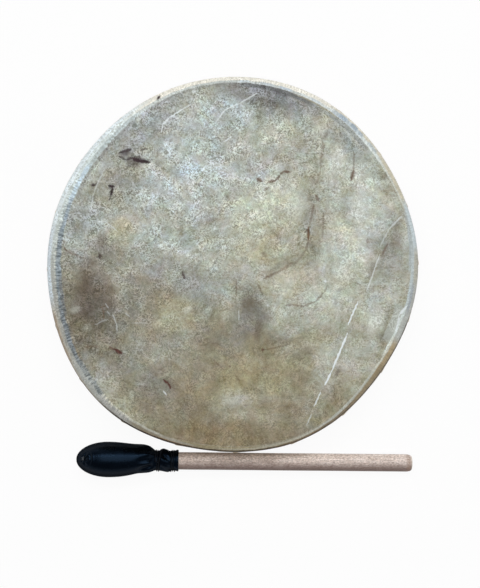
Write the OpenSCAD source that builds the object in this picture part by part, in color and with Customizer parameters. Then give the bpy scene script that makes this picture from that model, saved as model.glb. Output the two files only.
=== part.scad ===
// Ocean drum: a bentwood hoop closed by two laced rawhide heads, loose steel shot between
// them, and a leather-headed beater lying beside it.
// The drum lies on its back head. The origin is the middle of that face, +Z points up
// through the drum, and the beater lies along X on the -Y side.

/* [Drum] */
// Mean outside diameter over the hides
drum_d = 400; // [340:1:520]
// Height over both faces
drum_h = 60; // [50:1:90]

/* [Outline] */
// Share of the mean radius by which the hoop is oval
oval_share = 0.013; // [0:0.001:0.02]
// Direction of the oval's long axis, in degrees
oval_angle = 66; // [0:1:180]
// Share of the mean radius in three soft flats round the hoop
three_flats_share = 0.0044; // [0:0.0002:0.006]
// Direction of one crown between the three flats, in degrees
three_flats_angle = -27; // [-60:1:60]
// Share of the mean radius in five soft flats round the hoop
five_flats_share = 0.0051; // [0:0.0002:0.006]
// Direction of one crown between the five flats, in degrees
five_flats_angle = 5; // [-36:1:36]
// Share of the mean radius in six soft flats round the hoop
six_flats_share = 0.0041; // [0:0.0002:0.005]
// Direction of one crown between the six flats, in degrees
six_flats_angle = -7; // [-30:1:30]

/* [Hoop] */
// Thickness of the bent strip
hoop_t = 9; // [7:0.5:12]
// Radius of the rounded bearing edge under the hide
edge_round = 7; // [4:0.5:8]
// Chamfer inside the hoop
inner_chamfer = 1.2; // [0.5:0.1:2]
// Length of the glued scarf joint round the hoop
scarf_len = 90; // [60:1:140]
// Direction of the scarf's middle, in degrees
scarf_angle = -35; // [-180:1:180]
// Thickness of the strip's two feathered ends
feather_t = 0.6; // [0.4:0.1:1]
// Thickness of the glue line
glue_t = 0.2; // [0.1:0.05:0.3]

/* [Scarf nails] */
// Diameter of a nail's flush head
nail_head_d = 4; // [3:0.5:5]
// Thickness of the head
nail_head_t = 0.8; // [0.5:0.1:1.2]
// Diameter of the shank
nail_d = 1.6; // [1.2:0.1:2]
// Wood left between a nail's point and the hoop's inner face
nail_cover = 1; // [0.5:0.1:2]
// Height of the two nail rows above and below the middle
nail_row = 11; // [8:0.5:13]
// Clearance round a nail
nail_gap = 0.05; // [0.02:0.01:0.1]

/* [Hides] */
// Thickness of the rawhide
hide_t = 1.2; // [0.8:0.1:1.6]
// Height of the bare band of hoop between the two skirts, at a lacing hole
band_h = 8; // [7:0.5:12]
// Depth of the scallops in a skirt's edge between lacing holes
scallop = 2.5; // [0:0.5:4]
// Clearance between the hide and the hoop
hide_gap = 0.1; // [0.05:0.05:0.2]

/* [Lacing] */
// Diameter of the punched lacing holes
hole_d = 5; // [4.6:0.1:5.5]
// Distance from a hole's centre to the skirt's edge
hole_inset = 6; // [5:0.5:8]
// Height above a hole over which the skirt comes back to the hoop
shoulder_h = 3; // [2:0.5:4]
// Width of the rawhide lace
lace_w = 2.6; // [2:0.1:3]
// Thickness of the lace
lace_t = 1; // [0.8:0.1:1.2]
// Clearance on each side of the lace
lace_gap = 0.2; // [0.15:0.05:0.3]
// Distance past a skirt's edge at which the lace starts to cross the band
lace_drop = 1.5; // [1:0.5:2.5]
// Height of the knot that joins the lace's two ends
knot_h = 5; // [4:0.5:6]
// Thickness of that knot
knot_t = 3; // [2.5:0.5:4]
// Length of each cut end that stands out of the knot
tail_len = 8; // [5:0.5:12]

/* [Shot] */
// Diameter of a steel ball
ball_d = 5; // [4:0.5:6]
// Radius of the innermost lane
inner_lane_r = 28; // [20:1:40]
// Lane radius that holds one ball
ball_share_of_lane = 4.3; // [3.8:0.1:8]
// Arc over which the balls of one lane are spread, in degrees
bunch_arc = 210; // [180:5:300]
// Clearance between the balls and what is round them
run_gap = 0.3; // [0.2:0.05:0.5]

/* [Beater] */
// Length over the head and the stick
beater_len = 370; // [300:1:420]
// Diameter of the padded head at its widest
beater_head_d = 40; // [34:0.5:50]
// Distance from the tip to the widest place
beater_crown = 35; // [28:0.5:45]
// Distance from the tip to the first tie
first_tie = 87; // [80:0.5:100]
// Distance from the tip to the second tie
second_tie = 104; // [101:0.5:115]
// Distance from the tip to the end of the leather
cover_len = 112.5; // [110:0.5:125]
// Diameter of the stick
stick_d = 19; // [15:0.5:22]
// Distance from the tip to the stick's buried end
stick_start = 9; // [6:0.5:14]
// Depth of the rounding round the stick's free end
stick_round = 2.4; // [1:0.1:4]
// Length of that rounding
stick_round_len = 6.5; // [3:0.5:10]
// Thickness of the leather
leather_t = 1.4; // [1:0.1:2]
// Clearance between the leather, the wadding and the stick
beater_gap = 0.1; // [0.05:0.05:0.2]
// Depth of the grooves that the ties pull into the leather
tie_groove = 0.5; // [0.2:0.1:0.6]
// Height of the leather's folds between the ties and past them
neck_fold = 1.2; // [0.5:0.1:2]
// Diameter of the tying cord
tie_d = 1.4; // [1:0.1:1.8]
// Clear space between two turns of the tying cord
tie_gap = 0.6; // [0.5:0.1:1]
// Diameter of the gathering thread at the tip
thread_d = 0.7; // [0.5:0.1:0.9]
// Distance of its knot from the tip
thread_place = 9; // [7:0.5:14]
// Diameter of the knot's turns
thread_knot_d = 2.6; // [2.2:0.1:3.2]
// Clear space between two turns of the thread
thread_gap = 0.45; // [0.41:0.01:0.6]
// Distance of the beater's tip from the drum's middle, to the left
beater_left = 171; // [140:1:200]
// Clear space between the beater's stick and the drum's mean outline
beater_clear = 5.5; // [5:0.5:12]
// Turn of the beater seen from above, in degrees
beater_turn = -0.8; // [-1:0.1:0]

/* [Hidden] */
$fn = 64;
small_fn = 24;
overrun = 2;

// Steps round the hoop, six to each lacing hole
lace_holes = 20;
steps_per_hole = 6;
rim_steps = lace_holes * steps_per_hole;
rim_step = 360 / rim_steps;
hole_pitch = 360 / lace_holes;
arc_steps = 3;

mid_z = drum_h / 2;
skin_stack = hide_t + hide_gap;
hoop_half_h = mid_z - skin_stack;
mean_r = drum_d / 2;

// Radius of the hoop's outer face in the direction a
function outline(a) = 1
    + oval_share * cos(2 * (a - oval_angle))
    + three_flats_share * cos(3 * (a - three_flats_angle))
    + five_flats_share * cos(5 * (a - five_flats_angle))
    + six_flats_share * cos(6 * (a - six_flats_angle));
function hoop_r(a) = mean_r * outline(a) - skin_stack;

// A point at offset o outside the hoop's outer face and height h over the middle
function at(a, o, h) = let (r = hoop_r(a) + o) [r * cos(a), r * sin(a), mid_z + h];

function unit(v) = v / norm(v);
function reversed(list) = [for (i = [len(list) - 1 : -1 : 0]) list[i]];
function flipped(faces) = [for (f = faces) reversed(f)];
function joined(lists) = [for (list = lists) for (item = list) item];

// Triangles between n rings of m points; the last ring or point may meet the first again
function ring_faces(n, m, rings_meet, points_meet) = [
    for (i = [0 : n - (rings_meet ? 1 : 2)])
        for (j = [0 : m - (points_meet ? 1 : 2)])
            let (
                a = i * m + j,
                b = i * m + (j + 1) % m,
                c = ((i + 1) % n) * m + (j + 1) % m,
                d = ((i + 1) % n) * m + j
            )
                for (t = [[a, b, c], [a, c, d]]) t
];

// A solid through rings of points, with flat ends
module swept(rings) {
    n = len(rings);
    m = len(rings[0]);
    polyhedron(
        points = joined(rings),
        faces = concat(
            ring_faces(n, m, false, true),
            [[for (j = [m - 1 : -1 : 0]) j]],
            [[for (j = [0 : m - 1]) (n - 1) * m + j]]
        )
    );
}

// A solid whose last ring joins its first
module swept_loop(rings) {
    polyhedron(points = joined(rings), faces = ring_faces(len(rings), len(rings[0]), true, true));
}

// Hoop: a bent strip whose two feathered ends overlap in a glued scarf
bearing_r = min(edge_round, hoop_t - inner_chamfer - feather_t);
scarf_steps = round(scarf_len / mean_r * 180 / PI / rim_step);
scarf_span = scarf_steps * rim_step;
scarf_start = round((scarf_angle - scarf_span / 2) / rim_step) * rim_step;
scarf_slope_t = hoop_t - 2 * feather_t - glue_t;

// The strip's upper line as [offset, half height]: inner chamfer, flat, rounded bearing edge
strip_line = concat(
    [
        [-hoop_t, hoop_half_h - inner_chamfer],
        [-hoop_t + inner_chamfer, hoop_half_h]
    ],
    [
        for (k = [0 : arc_steps])
            let (t = 90 * k / arc_steps)
                [bearing_r * (sin(t) - 1), hoop_half_h - bearing_r * (1 - cos(t))]
    ]
);
function strip_half_h(o) = lookup(o, strip_line);

// A cross-section of the strip between two offsets, with the stations spread over its width
function strip_ring(a, inner_o, outer_o) =
    let (
        offsets = [
            for (p = strip_line) inner_o + (outer_o - inner_o) * (p[0] + hoop_t) / hoop_t
        ]
    )
        concat(
            [for (o = offsets) at(a, o, strip_half_h(o))],
            [for (o = reversed(offsets)) at(a, o, -strip_half_h(o))]
        );

module bent_strip() {
    body_steps = rim_steps - scarf_steps;
    outer_end = [
        for (i = [0 : scarf_steps])
            strip_ring(
                scarf_start + i * rim_step,
                -feather_t - scarf_slope_t * i / scarf_steps,
                0
            )
    ];
    body = [
        for (i = [1 : body_steps - 1])
            strip_ring(scarf_start + scarf_span + i * rim_step, -hoop_t, 0)
    ];
    inner_end = [
        for (i = [0 : scarf_steps])
            strip_ring(
                scarf_start + i * rim_step,
                -hoop_t,
                -feather_t - glue_t - scarf_slope_t * i / scarf_steps
            )
    ];
    swept(concat(outer_end, body, inner_end));
}

// Nails through the scarf, driven in from outside, with their heads flush
nail_len = hoop_t - nail_cover;
nail_place_shares = [0.3, 0.7];
facet_sag = mean_r * (1 - cos(rim_step / 2));

module at_nails() {
    for (s = nail_place_shares, row = [-nail_row, nail_row]) {
        a = scarf_start + s * scarf_span;
        rotate([0, 0, a])
            translate([hoop_r(a) - facet_sag, 0, mid_z + row])
                rotate([0, -90, 0])
                    children();
    }
}

module nail(gap, lead) {
    translate([0, 0, -lead])
        cylinder(d = nail_head_d + 2 * gap, h = lead + nail_head_t + gap, $fn = small_fn);
    cylinder(d = nail_d + 2 * gap, h = nail_len + gap, $fn = small_fn);
}

module hoop() {
    color("burlywood")
        difference() {
            bent_strip();
            at_nails() nail(nail_gap, overrun);
        }
}

module scarf_nails() {
    color("dimgray") at_nails() nail(0, 0);
}

// Hides: flat across the drum, over the rounded edge, and down the side as a skirt that
// bulges over the lace at each hole. side is 1 for the top head and -1 for the bottom one.
lace_room = lace_t + 2 * lace_gap;
edge_h = band_h / 2;
hole_h = edge_h + hole_inset;
fold_h = hoop_half_h - bearing_r;
shoulder_start = hole_h + hole_d / 2 + lace_t;
bulge_shares = [1, 1, 0.4, 0, 0.4, 1];

function first_hole(side) = side > 0 ? 0 : hole_pitch / 2;

// How far the lace lifts the skirt at step i: 1 beside a hole and 0 between two holes
function bulge(i, side) =
    bulge_shares[(i + (side > 0 ? 0 : steps_per_hole / 2)) % steps_per_hole];

// Half a hide's section, from the flat to the skirt's edge, as [offset, height]
function hide_line(lift, thick) =
    let (
        r = bearing_r + hide_gap + thick,
        o = hide_gap + thick,
        raised = o + lift * lace_room
    )
        concat(
            [
                for (k = [0 : arc_steps])
                    let (t = 90 * (1 - k / arc_steps))
                        [r * cos(t) - bearing_r, fold_h + r * sin(t)]
            ],
            [
                [o, shoulder_start + shoulder_h],
                [raised, shoulder_start],
                [raised, edge_h + scallop * (1 - lift)]
            ]
        );

module hide(side) {
    rings = [
        for (i = [0 : rim_steps - 1])
            let (
                lift = bulge(i, side),
                section = concat(hide_line(lift, hide_t), reversed(hide_line(lift, 0)))
            )
                [for (p = section) at(i * rim_step, p[0], side * p[1])]
    ];
    m = len(rings[0]);
    faces = concat(
        ring_faces(rim_steps, m, true, false),
        [[for (i = [rim_steps - 1 : -1 : 0]) i * m]],
        [[for (i = [0 : rim_steps - 1]) i * m + m - 1]]
    );
    difference() {
        polyhedron(points = joined(rings), faces = side > 0 ? faces : flipped(faces));
        for (k = [0 : lace_holes - 1]) {
            a = first_hole(side) + k * hole_pitch;
            rotate([0, 0, a])
                translate([hoop_r(a) + hide_gap, 0, mid_z + side * hole_h])
                    rotate([0, 90, 0])
                        cylinder(d = hole_d, h = lace_room + skin_stack + overrun, $fn = small_fn);
        }
    }
}

module top_head() {
    color("tan") hide(1);
}

module bottom_head() {
    color("tan") hide(-1);
}

// Lace: one flat strip of rawhide. It runs up under a skirt, out through a hole, back over
// the skirt's edge and across the band to the next hole of the other skirt.
half_pitch_w = PI * mean_r / lace_holes;
lace_slope = 2 * hole_h / half_pitch_w;
lace_rise = atan(lace_slope);
lace_low = lace_gap + lace_t / 2;
lace_high = lace_low + lace_room + skin_stack;
cross_h = edge_h - lace_drop;
thread_run = (hole_d - lace_t - lace_gap) / 2;

// Sideways distance from a hole at which the straight lace is at height h
function lace_w_at(h) = (hole_h - h) / lace_slope;

// One hole's stretch of lace as [sideways, height, offset, turn of the lace's width]
lace_stretch = [
    [-lace_w_at(cross_h), cross_h, lace_low, -lace_rise],
    [-thread_run, hole_h - thread_run * lace_slope, lace_low, -lace_rise],
    [0, hole_h - thread_run * lace_slope / 2, (lace_low + lace_high) / 2, 0],
    [thread_run, hole_h - thread_run * lace_slope, lace_high, lace_rise],
    [lace_w_at(cross_h), cross_h, lace_high, lace_rise]
];

lace_route = [
    for (k = [0 : 2 * lace_holes - 1])
        let (side = k % 2 == 0 ? 1 : -1)
            for (p = lace_stretch)
                [k * hole_pitch / 2 + p[0] / mean_r * 180 / PI, p[2], side * p[1], side * p[3]]
];

function sideways(a) = [-sin(a), cos(a), 0];
function lace_point(q) = at(q[0], q[1], q[2]);
function lace_across(q) = sin(q[3]) * sideways(q[0]) + [0, 0, cos(q[3])];

// A flat strip's ring round p, with its width along w, where the strip runs along d
function strap_ring(p, w, d) =
    let (x = unit(w) * lace_w / 2, y = unit(cross(d, w)) * lace_t / 2)
        [p - x - y, p - x + y, p + x + y, p + x - y];

// The knot is a lump round the middle of one crossing, with the lace's two cut ends
// standing out of it
knot_turn = hole_pitch / 4;
knot_length_share = 1.4;
knot_w = knot_h * knot_length_share;
knot_sides = 8;
knot_o = (lace_low + lace_high) / 2;
knot_width_shares = [-0.5, -0.3, 0, 0.3, 0.5];
knot_size_shares = [0.5, 0.95, 1, 0.95, 0.5];

function knot_ring(x, share) =
    let (a = knot_turn + x * knot_w / mean_r * 180 / PI)
        [
            for (j = [0 : knot_sides - 1])
                let (t = (j + 0.5) * 360 / knot_sides)
                    at(a, knot_o, 0)
                        + share * knot_t / 2 * cos(t) * [cos(a), sin(a), 0]
                        + share * knot_h / 2 * sin(t) * [0, 0, 1]
        ];

module lace_tail(way) {
    reach = [0, knot_w / 2, knot_w / 2 + tail_len / 2, knot_w / 2 + tail_len];
    proud = [0, 0, lace_t, 3 * lace_t];
    swept([
        for (k = [0 : len(reach) - 1])
            let (a = knot_turn + way * reach[k] / mean_r * 180 / PI)
                strap_ring(at(a, knot_o + proud[k], 0), [0, 0, 1], way * sideways(a))
    ]);
}

module side_lace() {
    n = len(lace_route);
    points = [for (q = lace_route) lace_point(q)];
    color("wheat")
        union() {
            swept_loop([
                for (i = [0 : n - 1])
                    strap_ring(
                        points[i],
                        lace_across(lace_route[i]),
                        points[(i + 1) % n] - points[(i + n - 1) % n]
                    )
            ]);
            swept([
                for (k = [0 : len(knot_size_shares) - 1])
                    knot_ring(knot_width_shares[k], knot_size_shares[k])
            ]);
            lace_tail(1);
            lace_tail(-1);
        }
}

// Shot: each lane holds the steel balls that run round the drum at one distance from its
// middle, bunched over part of the lane as they lie when the drum is put down
lanes = 12;
least_inner_r = min([for (i = [0 : rim_steps - 1]) hoop_r(i * rim_step)]) - hoop_t;
between_balls = ball_d + 2 * run_gap;
outer_lane_r = least_inner_r - between_balls;
lane_pitch = (outer_lane_r - inner_lane_r) / (lanes - 1);
lane_sway = max(0, min(ball_d / 2, (lane_pitch - between_balls) / 2));
golden_angle = 137.508;

// A repeatable scatter between -1 and 1
function scatter(i) = let (s = sin(golden_angle * i) * 10000) 2 * (s - floor(s)) - 1;

module shot_lane(k) {
    r = inner_lane_r + lane_pitch * k;
    count = round(r / ball_share_of_lane);
    arc_step = bunch_arc / count;
    free_arc = max(0, arc_step - between_balls / (r - lane_sway) * 180 / PI);
    color("silver")
        for (j = [0 : count - 1]) {
            seed = j * lanes + k + 1;
            a = golden_angle * k + arc_step * j + scatter(seed) * free_arc / 2;
            ball_r = r + scatter(seed + lanes * count) * lane_sway;
            rotate([0, 0, a])
                translate([ball_r, 0, hide_t + run_gap + ball_d / 2])
                    sphere(d = ball_d);
        }
}

// Beater: made along +X from its tip, then laid down beside the drum
cover_sides = 28;
side_turn = 360 / cover_sides;
flat_share = cos(side_turn / 2);
sleeve_r = (stick_d / 2 + beater_gap) / flat_share;
neck_r = sleeve_r + leather_t;
crown_r = beater_head_d / 2;
rest_x = beater_len - stick_round_len;
lay_down = asin((crown_r - stick_d / 2) / (rest_x - beater_crown));
beater_axis_z = crown_r * cos(lay_down) + beater_crown * sin(lay_down);
beater_y = -mean_r - beater_clear - stick_d / 2;

module lay_beater() {
    translate([-beater_left, beater_y - beater_left * tan(beater_turn), beater_axis_z])
        rotate([0, lay_down, beater_turn])
            children();
}

// The padded head is an ellipse to its crown and a parabola from there to the neck
crown_steps = 7;
taper_steps = 6;
tip_step_share = 0.25;
tie_pitch = tie_d + tie_gap;
tie_w = 2 * tie_pitch;
tie_floor = neck_r - tie_groove;
neck_start = first_tie - 2 * tie_d;
neck_mid = (first_tie + tie_w + second_tie) / 2;

function head_line(crown, around, neck) = concat(
    [
        for (k = [0 : crown_steps])
            let (t = 90 * max(k, tip_step_share) / crown_steps)
                [beater_crown - crown * cos(t), around * sin(t), 0]
    ],
    [
        for (k = [1 : taper_steps])
            let (u = k / taper_steps)
                [
                    beater_crown + (neck_start - beater_crown) * u,
                    neck + (around - neck) * (1 - u * u),
                    neck_fold * pow(u, 4) / 2
                ]
    ]
);

// The leather's outside as [x, radius between its folds, height of its folds]
cover_line = concat(
    head_line(beater_crown, crown_r, neck_r),
    [
        [first_tie - tie_d, tie_floor, 0],
        [first_tie + tie_w + tie_d, tie_floor, 0],
        [(first_tie + tie_w + tie_d + neck_mid) / 2, neck_r, neck_fold / 2],
        [neck_mid, neck_r, neck_fold],
        [(second_tie - tie_d + neck_mid) / 2, neck_r, neck_fold / 2],
        [second_tie - tie_d, tie_floor, 0],
        [second_tie + tie_w + tie_d, tie_floor, 0],
        [cover_len - leather_t, neck_r, neck_fold / 2],
        [cover_len, neck_r, neck_fold]
    ]
);
lining_line = concat(
    head_line(beater_crown - leather_t, crown_r - leather_t, sleeve_r),
    [[cover_len, sleeve_r, 0]]
);

folds = 7;
fold_twist = 1.6;
function cover_ring(p, folded) = [
    for (j = [0 : cover_sides - 1])
        let (
            a = j * side_turn,
            fold = folded ? p[2] * (1 + cos(folds * (a + fold_twist * p[0]))) / 2 : 0
        )
            [p[0], (p[1] + fold) * cos(a), (p[1] + fold) * sin(a)]
];

module beater_cover() {
    color("black")
        lay_beater()
            swept(concat(
                [for (p = cover_line) cover_ring(p, true)],
                [for (p = reversed(lining_line)) cover_ring(p, false)]
            ));
}

module turned(line) {
    rotate([0, 90, 0]) rotate_extrude() polygon([for (p = line) [p[1], p[0]]]);
}

module beater_stick() {
    color("tan")
        lay_beater()
            turned(concat(
                [[stick_start, 0], [stick_start, stick_d / 2]],
                [
                    for (t = [0, 30, 60, 90])
                        [
                            rest_x + stick_round_len * sin(t),
                            stick_d / 2 - stick_round * (1 - cos(t))
                        ]
                ],
                [[beater_len, 0]]
            ));
}

// The wadding fills the leather as far as the last step before the neck
module beater_wadding() {
    bore_r = stick_d / 2 + beater_gap;
    lining = head_line(beater_crown - leather_t - beater_gap, crown_r - leather_t, sleeve_r);
    filled = [for (k = [1 : crown_steps + taper_steps - 1]) lining[k]];
    last_x = filled[len(filled) - 1][0];
    color("ivory")
        lay_beater()
            turned(concat(
                [[leather_t + beater_gap, 0]],
                [for (p = filled) [p[0], p[1] * flat_share - beater_gap]],
                [
                    [last_x, bore_r],
                    [stick_start - beater_gap, bore_r],
                    [stick_start - beater_gap, 0]
                ]
            ));
}

// A round cord through points, with a hint of the side that faces up at each of them
function cord_ring(p, d, up, thick, sides) =
    let (t = unit(d), x = unit(up - t * (up * t)), y = cross(t, x))
        [
            for (j = [0 : sides - 1])
                let (a = j * 360 / sides) p + thick / 2 * (cos(a) * x + sin(a) * y)
        ];

module cord(points, ups, thick, sides) {
    last = len(points) - 1;
    swept([
        for (i = [0 : last])
            let (d = points[min(i + 1, last)] - points[max(i - 1, 0)])
                cord_ring(points[i], d, ups[i], thick, sides)
    ]);
}

// The least gap of a cord to itself, between points at least half a turn apart
function least_gap(points, thick, per_turn) = min([
    for (i = [0 : len(points) - 1])
        for (j = [i + per_turn / 2 : 1 : len(points) - 1])
            norm(points[i] - points[j])
]) - thick;

// Tie: two turns in the first groove, one slanted run over the folds, and two turns in the
// second groove
tie_turns = 2;
tie_slant_turns = 0.75;
tie_sides = 6;
tie_per_turn = 14;
tie_steps = round((2 * tie_turns + tie_slant_turns) * tie_per_turn);
cover_tops = [for (p = cover_line) [p[0], p[1] + p[2]]];

function tie_x(turn) = lookup(turn, [
    [0, first_tie],
    [tie_turns, first_tie + tie_w],
    [tie_turns + tie_slant_turns, second_tie],
    [2 * tie_turns + tie_slant_turns, second_tie + tie_w]
]);
function tie_r(x) =
    let (leather = max([for (s = [-1 : 0.5 : 1]) lookup(x + s * tie_d, cover_tops)]))
        (leather + beater_gap + tie_d / 2) / cos(180 / tie_per_turn);

tie_route = [
    for (i = [0 : tie_steps])
        let (turn = i / tie_per_turn, x = tie_x(turn), a = 360 * turn)
            [x, tie_r(x) * cos(a), tie_r(x) * sin(a)]
];

tie_ups = [for (p = tie_route) [0, p[1], p[2]]];

module beater_tie() {
    color("black")
        lay_beater()
            cord(tie_route, tie_ups, tie_d, tie_sides);
}

// Tip thread: a small knot of three turns on the leather, up from the tip
thread_turns = 3;
thread_sides = 6;
thread_per_turn = 10;
thread_angle = 14;
thread_r = (thread_knot_d - thread_d) / 2;
thread_route = [
    for (i = [0 : thread_turns * thread_per_turn])
        let (a = i * 360 / thread_per_turn)
            [
                thread_r * cos(a),
                (thread_d + thread_gap) * (i / thread_per_turn - thread_turns / 2),
                thread_r * sin(a)
            ]
];

thread_ups = [for (p = thread_route) [p[0], 0, p[2]]];

module beater_tip_thread() {
    stand = crown_r * sqrt(1 - pow(1 - thread_place / beater_crown, 2));
    slope = pow(crown_r / beater_crown, 2) * (beater_crown - thread_place) / stand;
    color("black")
        lay_beater()
            rotate([-thread_angle, 0, 0])
                translate([thread_place, 0, stand])
                    rotate([0, -atan(slope), 0])
                        translate([0, 0, thread_knot_d / 2 + beater_gap])
                            cord(thread_route, thread_ups, thread_d, thread_sides);
}

echo(tie_gap_to_itself = least_gap(tie_route, tie_d, tie_per_turn));
echo(thread_gap_to_itself = least_gap(thread_route, thread_d, thread_per_turn));

hoop();
scarf_nails();
top_head();
bottom_head();
side_lace();
shot_lane(0);  // shot_lane_01
shot_lane(1);  // shot_lane_02
shot_lane(2);  // shot_lane_03
shot_lane(3);  // shot_lane_04
shot_lane(4);  // shot_lane_05
shot_lane(5);  // shot_lane_06
shot_lane(6);  // shot_lane_07
shot_lane(7);  // shot_lane_08
shot_lane(8);  // shot_lane_09
shot_lane(9);  // shot_lane_10
shot_lane(10);  // shot_lane_11
shot_lane(11);  // shot_lane_12
beater_stick();
beater_wadding();
beater_cover();
beater_tie();
beater_tip_thread();
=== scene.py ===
import math

import bpy
import bmesh
import numpy as np
from mathutils import Matrix, Vector, noise


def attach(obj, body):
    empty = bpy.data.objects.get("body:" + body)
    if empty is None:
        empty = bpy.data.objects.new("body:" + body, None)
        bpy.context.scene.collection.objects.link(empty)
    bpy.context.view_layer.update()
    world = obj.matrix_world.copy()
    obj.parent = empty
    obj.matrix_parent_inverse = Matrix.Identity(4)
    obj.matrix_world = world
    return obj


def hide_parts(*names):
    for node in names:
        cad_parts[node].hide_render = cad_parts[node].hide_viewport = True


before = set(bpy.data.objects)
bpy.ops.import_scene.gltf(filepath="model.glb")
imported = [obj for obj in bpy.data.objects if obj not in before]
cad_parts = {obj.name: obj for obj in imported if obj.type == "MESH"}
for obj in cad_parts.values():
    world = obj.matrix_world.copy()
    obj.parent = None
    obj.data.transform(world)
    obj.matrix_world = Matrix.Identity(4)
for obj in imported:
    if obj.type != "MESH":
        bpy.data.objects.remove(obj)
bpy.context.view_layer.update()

MM = 0.001


# Camera: straight down, as the photograph was taken
camera_height = 1.3
photo_height_px = 588
focal_px = 1164
sensor_mm = 36
view_middle = (8.9 * MM, -30.4 * MM)

camera_data = bpy.data.cameras.new("photo_camera")
camera_data.sensor_fit = "VERTICAL"
camera_data.sensor_height = sensor_mm
camera_data.lens = focal_px / photo_height_px * sensor_mm
camera_data.clip_end = 20
camera = bpy.data.objects.new("photo_camera", camera_data)
camera.location = (view_middle[0], view_middle[1], camera_height)
bpy.context.scene.collection.objects.link(camera)
bpy.context.scene.camera = camera
bpy.context.scene.view_settings.view_transform = "Standard"


# Sizes of the drum and the beater, as in the CAD model
drum_d = 400 * MM
drum_h = 60 * MM
hoop_t = 9 * MM
bearing_r = 7 * MM
inner_chamfer = 1.2 * MM
hide_t = 1.2 * MM
hide_gap = 0.1 * MM
band_h = 8 * MM
scallop = 2.5 * MM
hole_d = 5 * MM
hole_inset = 6 * MM
shoulder_h = 3 * MM
lace_w = 2.6 * MM
lace_t = 1 * MM
lace_gap = 0.2 * MM
lace_drop = 1.5 * MM
lace_holes = 20

mean_r = drum_d / 2
mid_z = drum_h / 2
skin_stack = hide_t + hide_gap
hoop_half_h = mid_z - skin_stack
fold_h = hoop_half_h - bearing_r
edge_h = band_h / 2
hole_h = edge_h + hole_inset
hole_pitch = 2 * math.pi / lace_holes
lace_room = lace_t + 2 * lace_gap
shoulder_start = hole_h + hole_d / 2 + lace_t

# The hoop's outline: share of the mean radius, waves round it, direction of one crown
outline_waves = [(0.013, 2, 66), (0.0044, 3, -27), (0.0051, 5, 5), (0.0041, 6, -7)]


def hoop_r(a):
    """Radius of the hoop's outer face in the direction a."""
    shares = [s * np.cos(n * (a - math.radians(d))) for s, n, d in outline_waves]
    return mean_r * (1 + sum(shares)) - skin_stack


def at(a, offset, height):
    """A point at an offset outside the hoop's outer face and a height over its middle."""
    r = hoop_r(a) + offset
    return (r * math.cos(a), r * math.sin(a), mid_z + height)


def smooth(t):
    """Eases from 0 at 0 to 1 at 1, and stays there outside."""
    t = np.clip(t, 0, 1)
    return t * t * (3 - 2 * t)


def hump(x, middle, reach):
    """1 at the middle, falling off on both sides."""
    return np.exp(-((x - middle) / reach) ** 2)


def angles_round(count):
    return np.arange(count) * 2 * math.pi / count


def noise_over(points, rates):
    """Noise between -1 and 1 at each point, by its swings per metre."""
    places = np.reshape(points, (-1, 3)) * rates
    return np.array([noise.noise(Vector(p)) for p in places]).reshape(np.shape(points)[:-1])


# Meshes
def new_piece(name, points, faces, sharp=40):
    """An object from points and faces, smooth but for edges sharper than an angle."""
    mesh = bpy.data.meshes.new(name)
    mesh.from_pydata([tuple(p) for p in points], [], faces)
    mesh.validate()
    work = bmesh.new()
    work.from_mesh(mesh)
    bmesh.ops.recalc_face_normals(work, faces=work.faces)
    work.to_mesh(mesh)
    work.free()
    piece = bpy.data.objects.new(name, mesh)
    bpy.context.scene.collection.objects.link(piece)
    soften(piece, sharp)
    return piece


def soften(piece, sharp):
    piece.data.shade_smooth()
    piece.data.set_sharp_from_angle(angle=math.radians(sharp))


def give(piece, name, values):
    """Stores a number or a vector for each point, for the piece's material."""
    kind = "FLOAT_VECTOR" if np.ndim(values) == 2 else "FLOAT"
    key = "vector" if kind == "FLOAT_VECTOR" else "value"
    stored = piece.data.attributes.new(name, kind, "POINT")
    stored.data.foreach_set(key, np.asarray(values, np.float32).ravel())


def shape_again(piece, sharp):
    """Turns the piece's modifiers into plain mesh."""
    depsgraph = bpy.context.evaluated_depsgraph_get()
    mesh = bpy.data.meshes.new_from_object(piece.evaluated_get(depsgraph))
    piece.modifiers.clear()
    piece.data = mesh
    soften(piece, sharp)


def grid_faces(rings, columns, rings_meet=False):
    """Four-sided faces between closed rings of points that lie one after another."""
    faces = []
    for i in range(rings if rings_meet else rings - 1):
        here, there = i * columns, (i + 1) % rings * columns
        for j in range(columns):
            beside = (j + 1) % columns
            faces.append((here + j, here + beside, there + beside, there + j))
    return faces


# Shaders
def colour(r, g, b):
    """A colour written as on a screen, 0 to 255, as Blender's shaders take it."""
    def linear(c):
        c = c / 255
        return c / 12.92 if c <= 0.04045 else ((c + 0.055) / 1.055) ** 2.4
    return (linear(r), linear(g), linear(b), 1)


def node(tree, kind, inputs=None, **settings):
    made = tree.nodes.new(kind)
    for name, value in settings.items():
        setattr(made, name, value)
    for name, value in (inputs or {}).items():
        if isinstance(value, bpy.types.NodeSocket):
            tree.links.new(value, made.inputs[name])
        else:
            made.inputs[name].default_value = value
    return made


def maths(tree, operation, *values):
    made = node(tree, "ShaderNodeMath", dict(enumerate(values)), operation=operation)
    return made.outputs[0]


def vectors(tree, operation, *values):
    made = node(tree, "ShaderNodeVectorMath", dict(enumerate(values)), operation=operation)
    return made.outputs["Value" if operation in ("LENGTH", "DOT_PRODUCT") else "Vector"]


def spread(tree, value, low, high, to_low=0.0, to_high=1.0):
    """The value between low and high, eased, as a share between two others."""
    inputs = {"Value": value, "From Min": low, "From Max": high, "To Min": to_low, "To Max": to_high}
    made = node(tree, "ShaderNodeMapRange", inputs, interpolation_type="SMOOTHSTEP", clamp=False)
    return made.outputs[0]


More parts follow.
